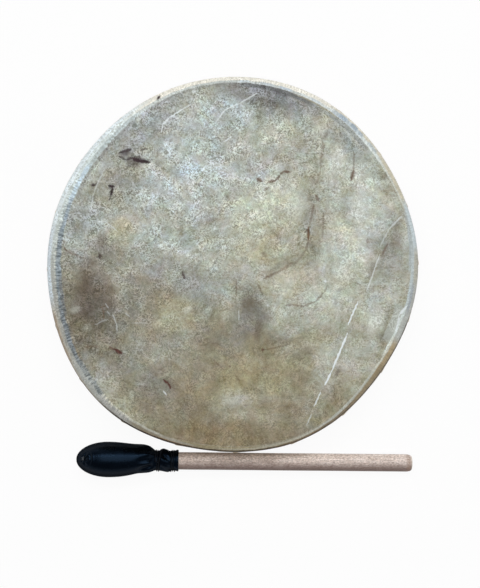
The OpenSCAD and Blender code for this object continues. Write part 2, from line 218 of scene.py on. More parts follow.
def tint(tree, under, over, share, blend="MIX"):
    """One colour laid over another by a share."""
    made = node(tree, "ShaderNodeMix", data_type="RGBA", blend_type=blend)
    made.clamp_factor = True
    for socket, value in ((made.inputs[0], share), (made.inputs[6], under), (made.inputs[7], over)):
        if isinstance(value, bpy.types.NodeSocket):
            tree.links.new(value, socket)
        else:
            socket.default_value = value
    return made.outputs[2]


def stain(tree, shade, tone, mask, share):
    """Lays a screen colour over the shade, by a share of a mask."""
    return tint(tree, shade, colour(*tone), maths(tree, "MULTIPLY", mask, share))


def noise_at(tree, place, size, detail=3.0, roughness=0.55, distortion=0.0):
    """Cloudy noise with features of about the given size."""
    inputs = {
        "Vector": place, "Scale": 1 / size, "Detail": detail,
        "Roughness": roughness, "Distortion": distortion,
    }
    return node(tree, "ShaderNodeTexNoise", inputs).outputs[0]


def new_group(name, inputs, outputs):
    """An empty node group with named sockets, and its input and output nodes."""
    tree = bpy.data.node_groups.new(name, "ShaderNodeTree")
    for socket, kind, value in inputs:
        made = tree.interface.new_socket(socket, in_out="INPUT", socket_type=kind)
        if value is not None:
            made.default_value = value
    for socket, kind in outputs:
        tree.interface.new_socket(socket, in_out="OUTPUT", socket_type=kind)
    return tree, tree.nodes.new("NodeGroupInput").outputs, tree.nodes.new("NodeGroupOutput").inputs


def use(tree, group, inputs):
    made = tree.nodes.new("ShaderNodeGroup")
    made.node_tree = group
    for name, value in inputs.items():
        if isinstance(value, bpy.types.NodeSocket):
            tree.links.new(value, made.inputs[name])
        else:
            made.inputs[name].default_value = value
    return made.outputs


FLOAT = "NodeSocketFloat"
VECTOR = "NodeSocketVector"


def make_mark_group():
    """A soft oval on the hide: 1 in its middle and 0 outside."""
    tree, given, result = new_group(
        "hide_mark",
        [("Place", VECTOR, None), ("Centre", VECTOR, None), ("Turn", FLOAT, 0.0),
         ("Half size", VECTOR, (1.0, 1.0, 1.0)), ("Edge", FLOAT, 0.6)],
        [("Mask", FLOAT)],
    )
    away = vectors(tree, "SUBTRACT", given["Place"], given["Centre"])
    back = maths(tree, "MULTIPLY", given["Turn"], -1.0)
    turned = node(tree, "ShaderNodeVectorRotate", {"Vector": away, "Angle": back}, rotation_type="Z_AXIS")
    scaled = vectors(tree, "DIVIDE", turned.outputs[0], given["Half size"])
    inner = maths(tree, "SUBTRACT", 1.0, given["Edge"])
    mask = spread(tree, vectors(tree, "LENGTH", scaled), inner, 1.0, 1.0, 0.0)
    tree.links.new(mask, result["Mask"])
    return tree


def make_line_group():
    """A thin line between two points on the hide, narrower towards its ends."""
    tree, given, result = new_group(
        "hide_line",
        [("Place", VECTOR, None), ("Start", VECTOR, None), ("End", VECTOR, None), ("Width", FLOAT, 0.001),
         ("Edge", FLOAT, 0.5)],
        [("Mask", FLOAT)],
    )
    run = vectors(tree, "SUBTRACT", given["End"], given["Start"])
    away = vectors(tree, "SUBTRACT", given["Place"], given["Start"])
    reach = vectors(tree, "DOT_PRODUCT", away, run)
    along = maths(tree, "DIVIDE", reach, vectors(tree, "DOT_PRODUCT", run, run))
    held = node(tree, "ShaderNodeClamp", {"Value": along}).outputs[0]
    nearest = node(tree, "ShaderNodeVectorMath", {0: run}, operation="SCALE")
    tree.links.new(held, nearest.inputs["Scale"])
    gap = vectors(tree, "LENGTH", vectors(tree, "SUBTRACT", away, nearest.outputs[0]))
    from_middle = maths(tree, "ABSOLUTE", maths(tree, "MULTIPLY_ADD", held, 2.0, -1.0))
    taper = spread(tree, from_middle, 0.5, 1.0, 1.0, 0.45)
    half = maths(tree, "MULTIPLY", maths(tree, "MULTIPLY", given["Width"], 0.5), taper)
    inner = maths(tree, "SUBTRACT", 1.0, given["Edge"])
    outer = maths(tree, "MULTIPLY_ADD", given["Edge"], 0.5, 1.0)
    mask = spread(tree, maths(tree, "DIVIDE", gap, half), inner, outer, 1.0, 0.0)
    tree.links.new(mask, result["Mask"])
    return tree


def make_waver_group():
    """Moves a place about by noise, so that what is drawn there gets a natural edge."""
    tree, given, result = new_group(
        "waver",
        [("Place", VECTOR, None), ("Size", FLOAT, 0.01), ("Reach", FLOAT, 0.002)],
        [("Place", VECTOR)],
    )
    scale = maths(tree, "DIVIDE", 1.0, given["Size"])
    cloud = node(tree, "ShaderNodeTexNoise", {"Vector": given["Place"], "Scale": scale, "Detail": 3.0})
    centred = vectors(tree, "SUBTRACT", cloud.outputs["Color"], (0.5, 0.5, 0.5))
    push = node(tree, "ShaderNodeVectorMath", {0: centred, "Scale": given["Reach"]}, operation="SCALE")
    moved = vectors(tree, "ADD", given["Place"], push.outputs[0])
    tree.links.new(moved, result["Place"])
    return tree


def make_skin_group():
    """Rawhide's own surface: worm-like pale flecks, dark follicles and their height."""
    tree, given, result = new_group(
        "rawhide_skin",
        [("Place", VECTOR, None)],
        [("Flecks", FLOAT), ("Clouds", FLOAT), ("Follicles", FLOAT), ("Height", FLOAT)],
    )
    place = given["Place"]
    worm = noise_at(tree, place, 4.2 * MM, 3.0, 0.6, 0.9)
    near_middle = maths(tree, "ABSOLUTE", maths(tree, "SUBTRACT", worm, 0.5))
    pale_lines = maths(tree, "MULTIPLY", spread(tree, near_middle, 0.015, 0.06, 1.0, 0.0), 0.9)
    grains = spread(tree, noise_at(tree, place, 1.9 * MM, 1.0), 0.5, 0.66)
    flecks = maths(tree, "MAXIMUM", pale_lines, maths(tree, "MULTIPLY", grains, 0.8))
    clouds = noise_at(tree, place, 9 * MM, 5.0, 0.65)
    cells = node(tree, "ShaderNodeTexVoronoi", {"Vector": place, "Scale": 1 / (1.5 * MM)})
    pores = spread(tree, cells.outputs["Distance"], 0.1, 0.34, 1.0, 0.0)
    height = maths(tree, "MULTIPLY_ADD", flecks, 0.6, maths(tree, "MULTIPLY", pores, -0.5))
    height = maths(tree, "ADD", height, clouds)
    for value, name in ((flecks, "Flecks"), (clouds, "Clouds"), (pores, "Follicles"), (height, "Height")):
        tree.links.new(value, result[name])
    return tree


def make_grain_group():
    """Fine wood grain along X: long pale and dark lines, and short dark flecks."""
    tree, given, result = new_group(
        "wood_grain",
        [("Place", VECTOR, None), ("Line size", FLOAT, 0.0012), ("Fleck size", FLOAT, 0.0007)],
        [("Lines", FLOAT), ("Flecks", FLOAT), ("Bands", FLOAT)],
    )
    long_place = vectors(tree, "MULTIPLY", given["Place"], (0.035, 1.0, 1.0))
    line_scale = maths(tree, "DIVIDE", 1.0, given["Line size"])
    lines = node(tree, "ShaderNodeTexNoise", {"Vector": long_place, "Scale": line_scale, "Detail": 4.0})
    short_place = vectors(tree, "MULTIPLY", given["Place"], (0.22, 1.0, 1.0))
    fleck_scale = maths(tree, "DIVIDE", 1.0, given["Fleck size"])
    fleck_inputs = {"Vector": short_place, "Scale": fleck_scale, "Detail": 1.0}
    flecks = node(tree, "ShaderNodeTexNoise", fleck_inputs)
    bands = node(tree, "ShaderNodeTexNoise", {"Vector": long_place, "Scale": 140.0, "Detail": 2.0})
    tree.links.new(lines.outputs[0], result["Lines"])
    tree.links.new(spread(tree, flecks.outputs[0], 0.56, 0.68), result["Flecks"])
    tree.links.new(bands.outputs[0], result["Bands"])
    return tree


def make_rim_group():
    """A stretch of the rim round one direction, between two depths in from the edge."""
    tree, given, result = new_group(
        "rim_stretch",
        [("Facing", VECTOR, None), ("Depth", FLOAT, 0.0), ("Towards", VECTOR, None), ("Ends", FLOAT, 0.5),
         ("Full", FLOAT, 0.8), ("From", FLOAT, 0.0), ("To", FLOAT, 0.005), ("Blur", FLOAT, 0.0007)],
        [("Mask", FLOAT)],
    )
    toward = vectors(tree, "DOT_PRODUCT", given["Facing"], given["Towards"])
    mask = spread(tree, toward, given["Ends"], given["Full"])
    for side, low, high in (("From", 0.0, 1.0), ("To", 1.0, 0.0)):
        before = maths(tree, "SUBTRACT", given[side], given["Blur"])
        after = maths(tree, "ADD", given[side], given["Blur"])
        mask = maths(tree, "MULTIPLY", mask, spread(tree, given["Depth"], before, after, low, high))
    tree.links.new(mask, result["Mask"])
    return tree


hide_mark = make_mark_group()
hide_line = make_line_group()
rim_stretch = make_rim_group()
waver = make_waver_group()
rawhide_skin = make_skin_group()
wood_grain = make_grain_group()


def new_material(name):
    material = bpy.data.materials.new(name)
    material.use_nodes = True
    tree = material.node_tree
    return material, tree, tree.nodes["Principled BSDF"]


def place_of(tree, attribute=None):
    """The piece's own coordinates, or those stored for its points."""
    if attribute:
        return node(tree, "ShaderNodeAttribute", attribute_name=attribute).outputs["Vector"]
    return node(tree, "ShaderNodeTexCoord").outputs["Object"]


def stored(tree, attribute):
    """A number stored for the piece's points."""
    return node(tree, "ShaderNodeAttribute", attribute_name=attribute).outputs["Fac"]


def bump(tree, surface, height, depth, strength=1.0):
    """Gives the surface relief of the given depth."""
    inputs = {"Height": height, "Distance": depth, "Strength": strength}
    made = node(tree, "ShaderNodeBump", inputs)
    tree.links.new(made.outputs[0], surface.inputs["Normal"])


def wear(piece, material):
    piece.data.materials.clear()
    piece.data.materials.append(material)


def dress(piece, body, material, node_name=None):
    """Gives a piece its material and its place in the frame."""
    wear(piece, material)
    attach(piece, body)
    if node_name:
        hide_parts(node_name)


# Goat hide. Places are millimetres from the drum's middle, with +Y at the photograph's top
# Broad tones, each laid over those before it: x, y, half length, half width, turn, colour, share
hide_tones = [
    (-40, 95, 165, 120, 0, (174, 177, 168), 1.0),
    (95, 45, 110, 140, 0, (181, 183, 169), 0.9),
    (10, -135, 240, 105, 0, (147, 140, 118), 1.0),
    (-115, -50, 120, 85, -25, (140, 136, 121), 1.0),
    (-45, -16, 84, 30, -12, (148, 148, 140), 0.7),
    (-162, -55, 95, 44, 98, (114, 108, 94), 0.9),
    (-148, -32, 38, 26, 80, (94, 84, 74), 0.75),
    (-140, 14, 30, 24, 10, (136, 132, 121), 0.8),
    (-100, 142, 90, 36, 40, (155, 157, 151), 1.0),
    (-122, 88, 46, 30, 60, (150, 150, 141), 0.8),
    (-160, 52, 50, 27, 72, (147, 150, 144), 0.8),
    (38, 184, 90, 32, -12, (131, 133, 131), 1.0),
    (-12, 160, 60, 26, 10, (168, 177, 176), 0.7),
    (-42, 118, 56, 34, 0, (168, 176, 171), 0.8),
    (-60, 24, 44, 26, 0, (184, 193, 188), 0.8),
    (40, 112, 70, 34, 15, (167, 167, 156), 0.8),
    (32, 56, 55, 36, 0, (189, 191, 171), 0.8),
    (38, 12, 48, 28, 0, (174, 170, 147), 0.8),
    (78, 0, 40, 28, 60, (165, 163, 146), 0.8),
    (82, -24, 34, 30, 0, (183, 184, 167), 0.8),
    (110, 114, 60, 22, 80, (184, 188, 178), 0.8),
    (142, 58, 80, 26, 95, (190, 193, 184), 0.85),
    (91, 50, 66, 18, 86, (158, 156, 142), 0.8),
    (172, 8, 66, 34, 84, (158, 158, 149), 0.9),
    (160, -50, 56, 28, 75, (187, 191, 183), 0.9),
    (112, -96, 60, 40, 35, (174, 174, 160), 0.9),
    (48, -112, 60, 36, 12, (151, 145, 119), 0.8),
    (-58, -54, 42, 32, 10, (162, 158, 136), 0.9),
    (-15, -76, 44, 36, 0, (137, 132, 115), 0.8),
    (20, -54, 46, 32, 80, (114, 110, 100), 0.7),
    (34, -84, 30, 24, 0, (132, 124, 102), 0.9),
    (-72, -146, 70, 36, -28, (136, 129, 110), 0.8),
    (-8, -184, 130, 30, 0, (128, 114, 87), 0.9),
    (5, -146, 36, 22, 0, (162, 159, 143), 0.8),
    (-100, -118, 52, 36, -30, (131, 128, 112), 0.9),
    (124, 128, 40, 14, -45, (146, 148, 141), 0.9),
    (88, -78, 34, 22, 20, (149, 143, 118), 0.95),
    (42, -18, 24, 18, 0, (166, 163, 143), 0.7),
    (-20, -20, 24, 16, 0, (167, 172, 165), 0.7),
    (-150, -110, 26, 20, -50, (156, 156, 144), 0.8),
    (-115, 46, 24, 18, 40, (174, 166, 140), 0.7),
    (12, -118, 30, 18, 10, (158, 150, 118), 0.7),
    (-78, -32, 26, 16, 10, (150, 142, 122), 0.6),
    (-30, 150, 50, 12, 20, (168, 176, 174), 0.5),
    (-92, 64, 34, 24, 20, (160, 163, 152), 0.7),
    (-8, 66, 30, 26, 0, (169, 172, 159), 0.7),
    (64, 60, 22, 26, 0, (176, 177, 160), 0.7),
    (-132, -56, 24, 40, 20, (108, 104, 94), 0.75),
    (-88, -20, 36, 17, -8, (136, 132, 117), 0.85),
    (174, -66, 36, 18, 65, (136, 132, 113), 0.9),
    (-42, -150, 32, 18, 0, (128, 119, 98), 0.7),
    (42, -150, 28, 16, 0, (138, 130, 106), 0.7),
    (84, -148, 28, 18, 20, (160, 156, 138), 0.7),
    (70, 132, 30, 18, 10, (181, 184, 173), 0.6),
    (142, 84, 26, 16, 80, (200, 204, 196), 0.7),
    (166, -6, 20, 14, 80, (170, 171, 162), 0.7),
    (-176, -6, 18, 10, 88, (158, 154, 140), 0.7),
    (-50, -20, 20, 14, 0, (150, 149, 136), 0.6),
    (-150, -112, 20, 14, -50, (172, 172, 160), 0.7),
    (-128, -92, 16, 12, 0, (118, 114, 100), 0.6),
    (165, -84, 16, 10, 65, (156, 150, 130), 0.7),
    (-172, 42, 16, 10, 88, (160, 165, 168), 0.65),
]

# Pale patches: x, y, half length, half width, turn, share
hide_pale = [
    (112, 112, 28, 11, 80, 0.5),
    (136, 60, 24, 14, 100, 0.6),
    (152, -60, 24, 11, 75, 0.6),
    (70, 62, 22, 16, 60, 0.35),
    (118, -10, 22, 14, 70, 0.4),
    (95, 146, 9, 5, 0, 0.4),
    # Painted highlight on the rim beside its crest on the lower right
    (172, -62, 17, 9, 75, 0.3),
    (-166, -47, 9, 6, 20, 0.3),
    (-154, -66, 8, 6, 40, 0.25),
    (-47, -47, 8, 6, 30, 0.5),
    (62, -18, 14, 9, 60, 0.35),
    (85, -28, 13, 8, 0, 0.35),
    (100, -98, 16, 10, 60, 0.3),
    (-2, -144, 12, 8, 20, 0.4),
]

# Soft brown and grey smudges: x, y, half length, half width, turn, share
hide_smudges = [
    (-156, -14, 26, 10, 88, 0.75),
    (-131, -26, 17, 8, -8, 0.5),
    (-130, -40, 15, 8, 70, 0.55),
    (-150, 2, 10, 7, 30, 0.45),
    (-139, 27, 11, 8, 70, 0.55),
    (-141, 11, 7, 4, 90, 0.5),
    (-162, -79, 8, 6, 40, 0.5),
    (-171, -62, 14, 6, 80, 0.4),
    (-104, 109, 13, 7, -10, 0.6),
    (20, -38, 22, 12, 80, 0.45),
    (28, -68, 17, 7, 85, 0.7),
    (16, -72, 20, 12, 20, 0.3),
    (-22, -84, 16, 10, 30, 0.35),
    (113, -114, 10, 4, 75, 0.5),
    (162, -76, 15, 8, 35, 0.55),
    (162, 95, 9, 6, 20, 0.4),
    (175, 32, 33, 11, 82, 0.4),
    (150, -4, 16, 6, 70, 0.35),
    (100, 138, 9, 5, 50, 0.55),
    (88, 100, 34, 6, 78, 0.35),
    (48, 32, 6, 5, 0, 0.3),
    (55, 2, 26, 6, 28, 0.35),
    (83, 70, 8, 5, 10, 0.4),
    (150, 128, 22, 8, -55, 0.35),
    (60, -80, 26, 6, 14, 0.3),
    (72, -98, 12, 8, 60, 0.3),
    (-34, 86, 4, 3, 0, 0.4),
    (-5, 74, 6, 3, 60, 0.4),
    (-66, -128, 15, 10, -20, 0.35),
    # Painted shade along the inner side of the top rim
    (30, 176, 36, 8, -12, 0.45),
]

# Purplish black blots round the dark strokes: x, y, half length, half width, turn, share
hide_blots = [
    (-113, 119.5, 11, 5.5, 10, 0.75),
    (-99, 112.5, 16, 5.5, -8, 0.95),
    (-104, 114, 20, 10, -12, 0.4),
    (-104, 108, 12, 6, 0, 0.35),
    (-128, 83, 6, 4.5, 10, 0.7),
    (-128.5, 77, 8, 3, 78, 0.6),
    (-147, 86, 5, 3.5, 0, 0.6),
    (-121, -92, 9, 3.6, -25, 0.5),
    (-69, -125, 9, 3.2, -40, 0.4),
    (-78, 179, 4.5, 3, 50, 0.7),
    (-141, 10, 5, 4, 80, 0.4),
    (-51, -10, 6, 3, -70, 0.35),
    (33.5, 190.5, 5, 2.2, -10, 0.5),
    (48, 185, 9, 4, -15, 0.4),
    (57, 181, 5, 3, -20, 0.4),
]

# Dark strokes, from a hair's width up: x and y of both ends, width, share
hide_strokes = [
    (-120, 120, -107, 124, 3.6, 0.9),
    (-120, 116, -112, 112.6, 3.4, 0.75),
    (-112, 112.6, -106, 115, 3.4, 0.8),
    (-106, 115, -98, 111, 5, 1.0),
    (-98, 111, -87, 110.2, 4.2, 1.0),
    (-97, 122.5, -90, 124.5, 3, 0.5),
    (-99, 118, -97, 113, 3, 0.5),
    (-85.5, 113, -84, 113, 2.4, 0.5),
    (-149, 85.4, -145.6, 86, 3.4, 0.9),
    (-145.6, 86, -142.6, 88.4, 2.2, 0.5),
    (-131, 84.8, -125, 84.3, 3.6, 1.0),
    (-127, 83, -128.7, 74, 2.8, 0.95),
    (-129.4, 72, -130.4, 69, 1.8, 0.8),
    (-134, 124, -132, 124, 2.6, 0.5),
    (-79, 177.5, -76.6, 180.5, 2.6, 1.0),
    (-134, 29, -133, 27, 2.6, 0.5),
    (-140.8, 12, -140.6, 8, 3, 0.7),
    (4, 42.2, 5.4, 42.2, 2.8, 0.75),
    (-53, -6, -50, -14.6, 2.6, 0.75),
    (-131, -87, -123, -90, 2.8, 0.7),
    (-125, -89, -117, -93.6, 4, 1.0),
    (-73, -121.8, -67.3, -126, 3, 1.0),
    (-67.3, -126, -65, -131.6, 2.6, 0.95),
    (-3, -107.7, -1.4, -107.7, 2.8, 0.6),
    (-41, -100, -39.4, -100.4, 2.4, 0.5),
    (32, -90.4, 34, -90.4, 3.8, 0.8),
    (14, -149.4, 16, -149.4, 3, 0.4),
]

# Brown veins: x and y of both ends, width, share
hide_veins = [
    (-178.6, 19.5, -175.6, 15, 2.4, 0.8),
    (-175.6, 15, -158, 8, 3, 0.5),
    (27, 92, 32, 89.6, 5.4, 0.85),
    (38.8, 88.4, 47, 90.6, 4.2, 0.85),
    (47, 90.6, 51.6, 96.7, 3.4, 0.8),
    (51.6, 96.7, 55.4, 100.5, 3.2, 0.8),
    (55.4, 100.5, 62, 99.6, 3.6, 0.9),
    (34, 79.3, 39.5, 83.1, 2.6, 0.55),
    (97, 131.6, 97.8, 123.9, 4.4, 0.6),
    (96.2, 122.4, 94.7, 101.2, 3.4, 0.45),
    (94.7, 101.2, 89.4, 86.1, 3.2, 0.4),
    (89.4, 75, 92.6, 69, 4, 0.7),
    (87.9, 66.4, 83.4, 43.7, 3, 0.5),
    (97.8, 55.8, 97, 28.5, 2.6, 0.45),
    (81.9, 41, 81.6, 27, 3.6, 0.95),
    (77.3, 34.6, 81.5, 39, 2.4, 0.55),
    (81.6, 27, 79, 16, 2.6, 0.5),
    (79, 16, 66, 0, 3, 0.35),
    (130.4, 122.4, 130, 101.2, 2.6, 0.5),
    (130, 101.2, 127.3, 90.6, 4.8, 0.9),
    (33, 13.4, 36, 10.4, 7, 0.45),
    (34.9, -14, 50.1, -6.3, 3.6, 0.6),
    (50.1, -6.3, 65.3, 2.8, 4.4, 0.45),
    (57.6, -42.6, 63.7, -41.9, 2.8, 0.6),
    (63.7, -41.9, 77.3, -43.4, 2.6, 0.5),
    (77.3, -43.4, 89.4, -38.1, 2.6, 0.5),
    (89.4, -38.1, 98.5, -29, 2.8, 0.6),
    (98.5, -29, 101.5, -22.9, 2.4, 0.45),
    (5, -16, 5, -33, 1.8, 0.55),
    (27, -18, 34, -33, 2.4, 0.4),
    (-137, -45.7, -136.2, -56.3, 2.6, 0.6),
    (-139.6, -45.1, -134.9, -43, 2.4, 0.5),
    (-157, -87, -140, -86, 2.6, 0.4),
    (34.9, -90.4, 62.2, -83.5, 2.4, 0.45),
    (166.7, 24, 160.7, 11.9, 2.6, 0.6),
    (144.8, 28, 144.8, 24, 3.4, 0.5),
    (-57.5, -77, -49.9, -86, 1.8, 0.4),
    (3, -115, 9, -124, 2.4, 0.4),
    (-20, -100, -8, -112, 2.4, 0.35),
    (150.6, -31.8, 152, -18, 2, 0.3),
]

# Creases, which stand up a little and are painted near-white as a highlight on their ridges: x and y of
# both ends, width, share, height
crease_ridges_and_highlights = [
    (182.6, 54.3, 168.2, 39.1, 2.1, 0.45, 0.15),
    (168, 39, 158, 20, 1.8, 0.35, 0.1),
    (158, 12, 143.9, -27.5, 1.7, 0.5, 0.15),
    (134.9, -38.1, 123.6, -63.8, 2.1, 0.95, 0.2),
    (123.6, -72.2, 106.1, -113.9, 2.4, 1.0, 0.25),
    (106.1, -113.9, 99.3, -127.5, 2.6, 1.0, 0.25),
    (94.7, -135.1, 87.9, -150.1, 2.0, 0.75, 0.15),
    (84.9, -158.5, 80.3, -169.9, 1.7, 0.45, 0.1),
    # Not creases: a painted highlight along the rim's crest on the lower right, lifted a little
    (187, -43, 179, -52, 2.6, 0.8, 0.2),
    (179, -52, 174.6, -72.6, 2.2, 0.6, 0.2),
    (-74.9, 142.2, -73.4, 149.7, 1.9, 0.65, 0.2),
    (-73.4, 149.7, -66.5, 157.3, 2.2, 0.8, 0.2),
    (-66.5, 157.3, -51.4, 167.1, 2.0, 0.75, 0.2),
    (-51.4, 167.1, -42, 172.6, 1.8, 0.5, 0.15),
    (-17.3, 153.5, -13.5, 157.3, 1.8, 0.5, 0.15),
    (-13.5, 157.3, -7.5, 165.6, 2.0, 0.7, 0.15),
    (-7.5, 165.6, 9.2, 173.2, 1.9, 0.65, 0.15),
    (9.2, 173.2, 28.9, 184.6, 1.8, 0.55, 0.15),
    (-8.2, 131.6, 0, 137.6, 1.8, 0.6, 0.1),
    (-146.8, 78.6, -136.2, 101.2, 1.8, 0.35, 0.1),
    (-150.6, 58.1, -146.8, 78.6, 1.8, 0.35, 0.1),
    (-143.8, 46.7, -134.7, 46.7, 1.8, 0.5, 0.1),
    (-134.7, 46.7, -121.1, 36.1, 1.7, 0.45, 0.1),
    (-127.2, -51.7, -122.6, -62.4, 1.7, 0.36, 0.1),
    (-122.6, -62.4, -122.6, -71.5, 1.6, 0.34, 0.1),
    (-72.6, -133.5, -69.6, -138.1, 1.9, 0.6, 0.1),
    (7.7, -47.2, 7.7, -57.8, 1.5, 0.35, 0.1),
    (-130.9, -56.8, -146.9, -63.2, 1.6, 0.2, 0.1),
    (-135, -40, -131, -46, 1.6, 0.28, 0.1),
    (-133, -48, -130, -53, 1.8, 0.22, 0.1),
    (-113.6, -50.5, -108.5, -54.5, 2.6, 0.28, 0.1),
    (-107.2, -61.1, -84.3, -61.3, 1.3, 0.2, 0.05),
    (-75.3, 90.2, -81.7, 68.9, 2.2, 0.25, 0.1),
    (-63.6, 75.3, -60.4, 84.9, 2, 0.3, 0.1),
    (-60.4, 84.9, -55, 85.9, 1.8, 0.3, 0.1),
    (-106.2, 89.1, -100.9, 82.7, 2.2, 0.3, 0.1),
    (-48.7, 95.5, -45.5, 90.2, 3, 0.3, 0.1),
]

# Small white dots of dried skin: x, y, half size, share
hide_dots = [
    (-40, 185.3, 3.4, 0.7),
    (26.6, 119.4, 1.4, 0.9),
    (7.2, 94.4, 1.3, 0.7),
    (113.7, 108, 2, 0.7),
    (122.7, 108.8, 2, 0.7),
    (114.5, 80, 2.2, 0.7),
    (100, -16.9, 2.2, 0.8),
    (38.7, -42.6, 1.8, 0.6),
    (-98, 75.6, 2.8, 0.4),
]

# Width of the pale rim by direction: degrees, mm
rim_widths = [
    (0, 9), (10, 6.9), (20, 6.2), (30, 6.9), (40, 7.9), (60, 8.3), (70, 8.5), (90, 7.4),
    (100, 7.6), (110, 8.6), (120, 10.4), (130, 12.6), (150, 14.7), (170, 15.4), (190, 15.5),
    (210, 14.4), (220, 13.4), (230, 9.6), (240, 8.6), (250, 6.2), (260, 5), (280, 5),
    (300, 6), (310, 7.6), (320, 9.4), (340, 9.6), (350, 9.2), (360, 9),
]

# Rim: direction and half of its spread in degrees, from and to in rim widths, colour, share. Besides the
# hide's own tones, these hold painted light: pale painted highlights on the top, the upper left and the
# crest, brown painted shade round the lower right, a bluish painted shadow line on the left and grey
# painted shade just inside the top
rim_tones_and_painted_light = [
    # Pale painted highlight over the hide's own pale tone along the top and the upper left
    (94, 40, -0.25, 0.68, (234, 230, 217), 0.95),
    (146, 26, -0.25, 0.45, (221, 230, 231), 0.95),
    (146, 24, 0.45, 0.72, (210, 220, 218), 0.9),
    (128, 10, 0.72, 1.0, (190, 200, 199), 0.9),
    (141, 8, 0.72, 1.0, (176, 186, 184), 0.9),
    (152, 7, 0.66, 1.0, (192, 208, 216), 0.95),
    (163, 6, 0.75, 1.0, (162, 175, 184), 0.9),
    (182, 13, -0.25, 0.34, (207, 217, 222), 0.95),
    (176, 14, 0.34, 0.64, (188, 195, 190), 0.9),
    (206, 14, -0.25, 0.34, (184, 178, 164), 0.95),
    (203, 8, -0.25, 0.2, (158, 138, 116), 0.8),
    (202, 24, 0.34, 0.6, (164, 164, 157), 0.9),
    (220, 9, 0.2, 0.7, (174, 176, 170), 0.9),
    # Bluish painted shadow line where the hide leaves the hoop on the left
    (186, 20, 0.66, 1.02, (126, 137, 143), 0.9),
    (205, 12, 0.55, 0.86, (118, 124, 127), 0.95),
    (205, 12, 0.88, 1.04, (128, 118, 98), 0.8),
    (219, 7, 0.6, 1.0, (138, 142, 140), 0.9),
    (190, 6, 0.85, 1.05, (112, 114, 112), 0.9),
    (82, 24, 0.68, 1.0, (190, 195, 191), 0.9),
    (112, 9, 0.7, 1.0, (198, 203, 198), 0.9),
    (60, 8, 0.62, 0.95, (212, 217, 213), 0.9),
    (50, 7, -0.25, 0.38, (220, 214, 198), 0.9),
    (50, 7, 0.38, 1.0, (184, 193, 196), 0.95),
    (38, 7, -0.25, 0.55, (208, 202, 184), 0.95),
    (38, 7, 0.55, 1.0, (209, 215, 211), 0.95),
    (27, 8, -0.25, 0.68, (198, 191, 170), 0.95),
    (27, 8, 0.72, 0.98, (198, 200, 189), 0.95),
    (11, 9, -0.25, 0.75, (196, 206, 208), 0.95),
    (8, 9, 0.75, 1.25, (166, 174, 174), 0.85),
    (357, 8, -0.25, 0.6, (178, 176, 163), 0.95),
    (357, 9, 0.62, 1.0, (182, 190, 189), 0.95),
    (347, 7, -0.25, 0.4, (180, 180, 174), 0.95),
    (347, 7, 0.4, 0.7, (162, 168, 172), 0.95),
    (349, 7, 0.75, 1.0, (184, 194, 194), 0.95),
    (338, 7, -0.25, 0.75, (183, 185, 178), 0.95),
    (338, 8, 0.78, 1.1, (204, 212, 206), 0.95),
    (340, 6, 1.1, 2.0, (188, 194, 187), 0.6),
    # Round the lower right, the outer rows hold brown painted shade and the inner rows a pale painted
    # highlight along the crest
    (328, 7, -0.25, 0.72, (172, 154, 122), 0.95),
    (329, 7, 0.78, 1.0, (202, 201, 186), 0.95),
    (318, 9, -0.25, 0.66, (152, 137, 110), 0.95),
    (316, 9, 0.74, 1.0, (184, 185, 174), 0.95),
    (304, 8, -0.25, 0.6, (136, 122, 99), 0.95),
    (304, 8, 0.62, 0.98, (184, 185, 174), 0.95),
    (289, 9, -0.25, 0.42, (150, 131, 98), 0.9),
    (289, 9, 0.42, 0.56, (134, 112, 78), 0.8),
    (289, 9, 0.6, 0.92, (190, 188, 172), 0.95),
    (270, 16, -0.25, 0.5, (148, 126, 88), 0.9),
    (266, 12, 0.5, 1.25, (154, 142, 112), 0.9),
    (278, 12, 0.6, 0.95, (180, 174, 152), 0.9),
    (250, 9, -0.25, 0.5, (146, 114, 76), 0.9),
    (250, 8, 0.52, 0.92, (172, 166, 151), 0.9),
    (240, 7, 0.35, 0.7, (146, 137, 119), 0.95),
    (240, 7, 0.72, 1.0, (182, 181, 167), 0.95),
    (231, 6, 0.2, 0.82, (174, 173, 167), 0.9),
    (231, 6, 0.82, 1.0, (191, 190, 177), 0.9),
    # Grey painted shade just inside the rim along the top
    (100, 14, 1.02, 1.3, (132, 134, 130), 0.5),
    (76, 12, 1.04, 1.55, (106, 108, 107), 0.9),
    (50, 9, 1.04, 1.6, (143, 147, 143), 0.8),
    (140, 16, 1.0, 1.25, (136, 136, 132), 0.6),
    (20, 8, 1.0, 1.2, (156, 151, 134), 0.6),
    (62, 7, 1.0, 1.15, (164, 157, 132), 0.7),
    (86, 1.5, 0.6, 0.95, (190, 199, 204), 0.7),
    (79, 2, 0.6, 0.95, (188, 196, 200), 0.7),
    (73, 2, 0.62, 0.95, (184, 195, 204), 0.8),
    (63, 1.6, 0.6, 0.9, (196, 204, 208), 0.7),
    (53, 1.4, 0.3, 0.9, (158, 172, 184), 0.8),
    (48.5, 1.2, 0.25, 0.8, (150, 162, 172), 0.8),
    (45.5, 0.8, 0.3, 0.8, (160, 170, 178), 0.7),
    (40, 2, 0.3, 0.7, (176, 186, 190), 0.7),
]

# Outer line of the rim, with a pale painted highlight on the upper left and a dark painted shadow round
# the lower right: direction and half of its spread, from and to in mm, colour, share
rim_edge_highlight_and_shadow = [
    # Pale painted highlight on the outer edge at the upper left
    (130, 42, -1.5, 0.6, (222, 208, 190), 0.45),
    (205, 10, -0.4, 0.9, (150, 136, 118), 0.9),
    (222, 9, -0.4, 1.4, (128, 118, 106), 0.9),
    # Dark painted shadow under the rim's edge round the lower right
    (256, 27, -0.4, 2.3, (46, 34, 20), 0.95),
    (290, 11, -0.4, 1.9, (66, 50, 30), 0.95),
    (308, 12, -0.4, 1.8, (78, 64, 46), 0.9),
    (331, 12, -0.4, 1.6, (70, 58, 44), 0.9),
]

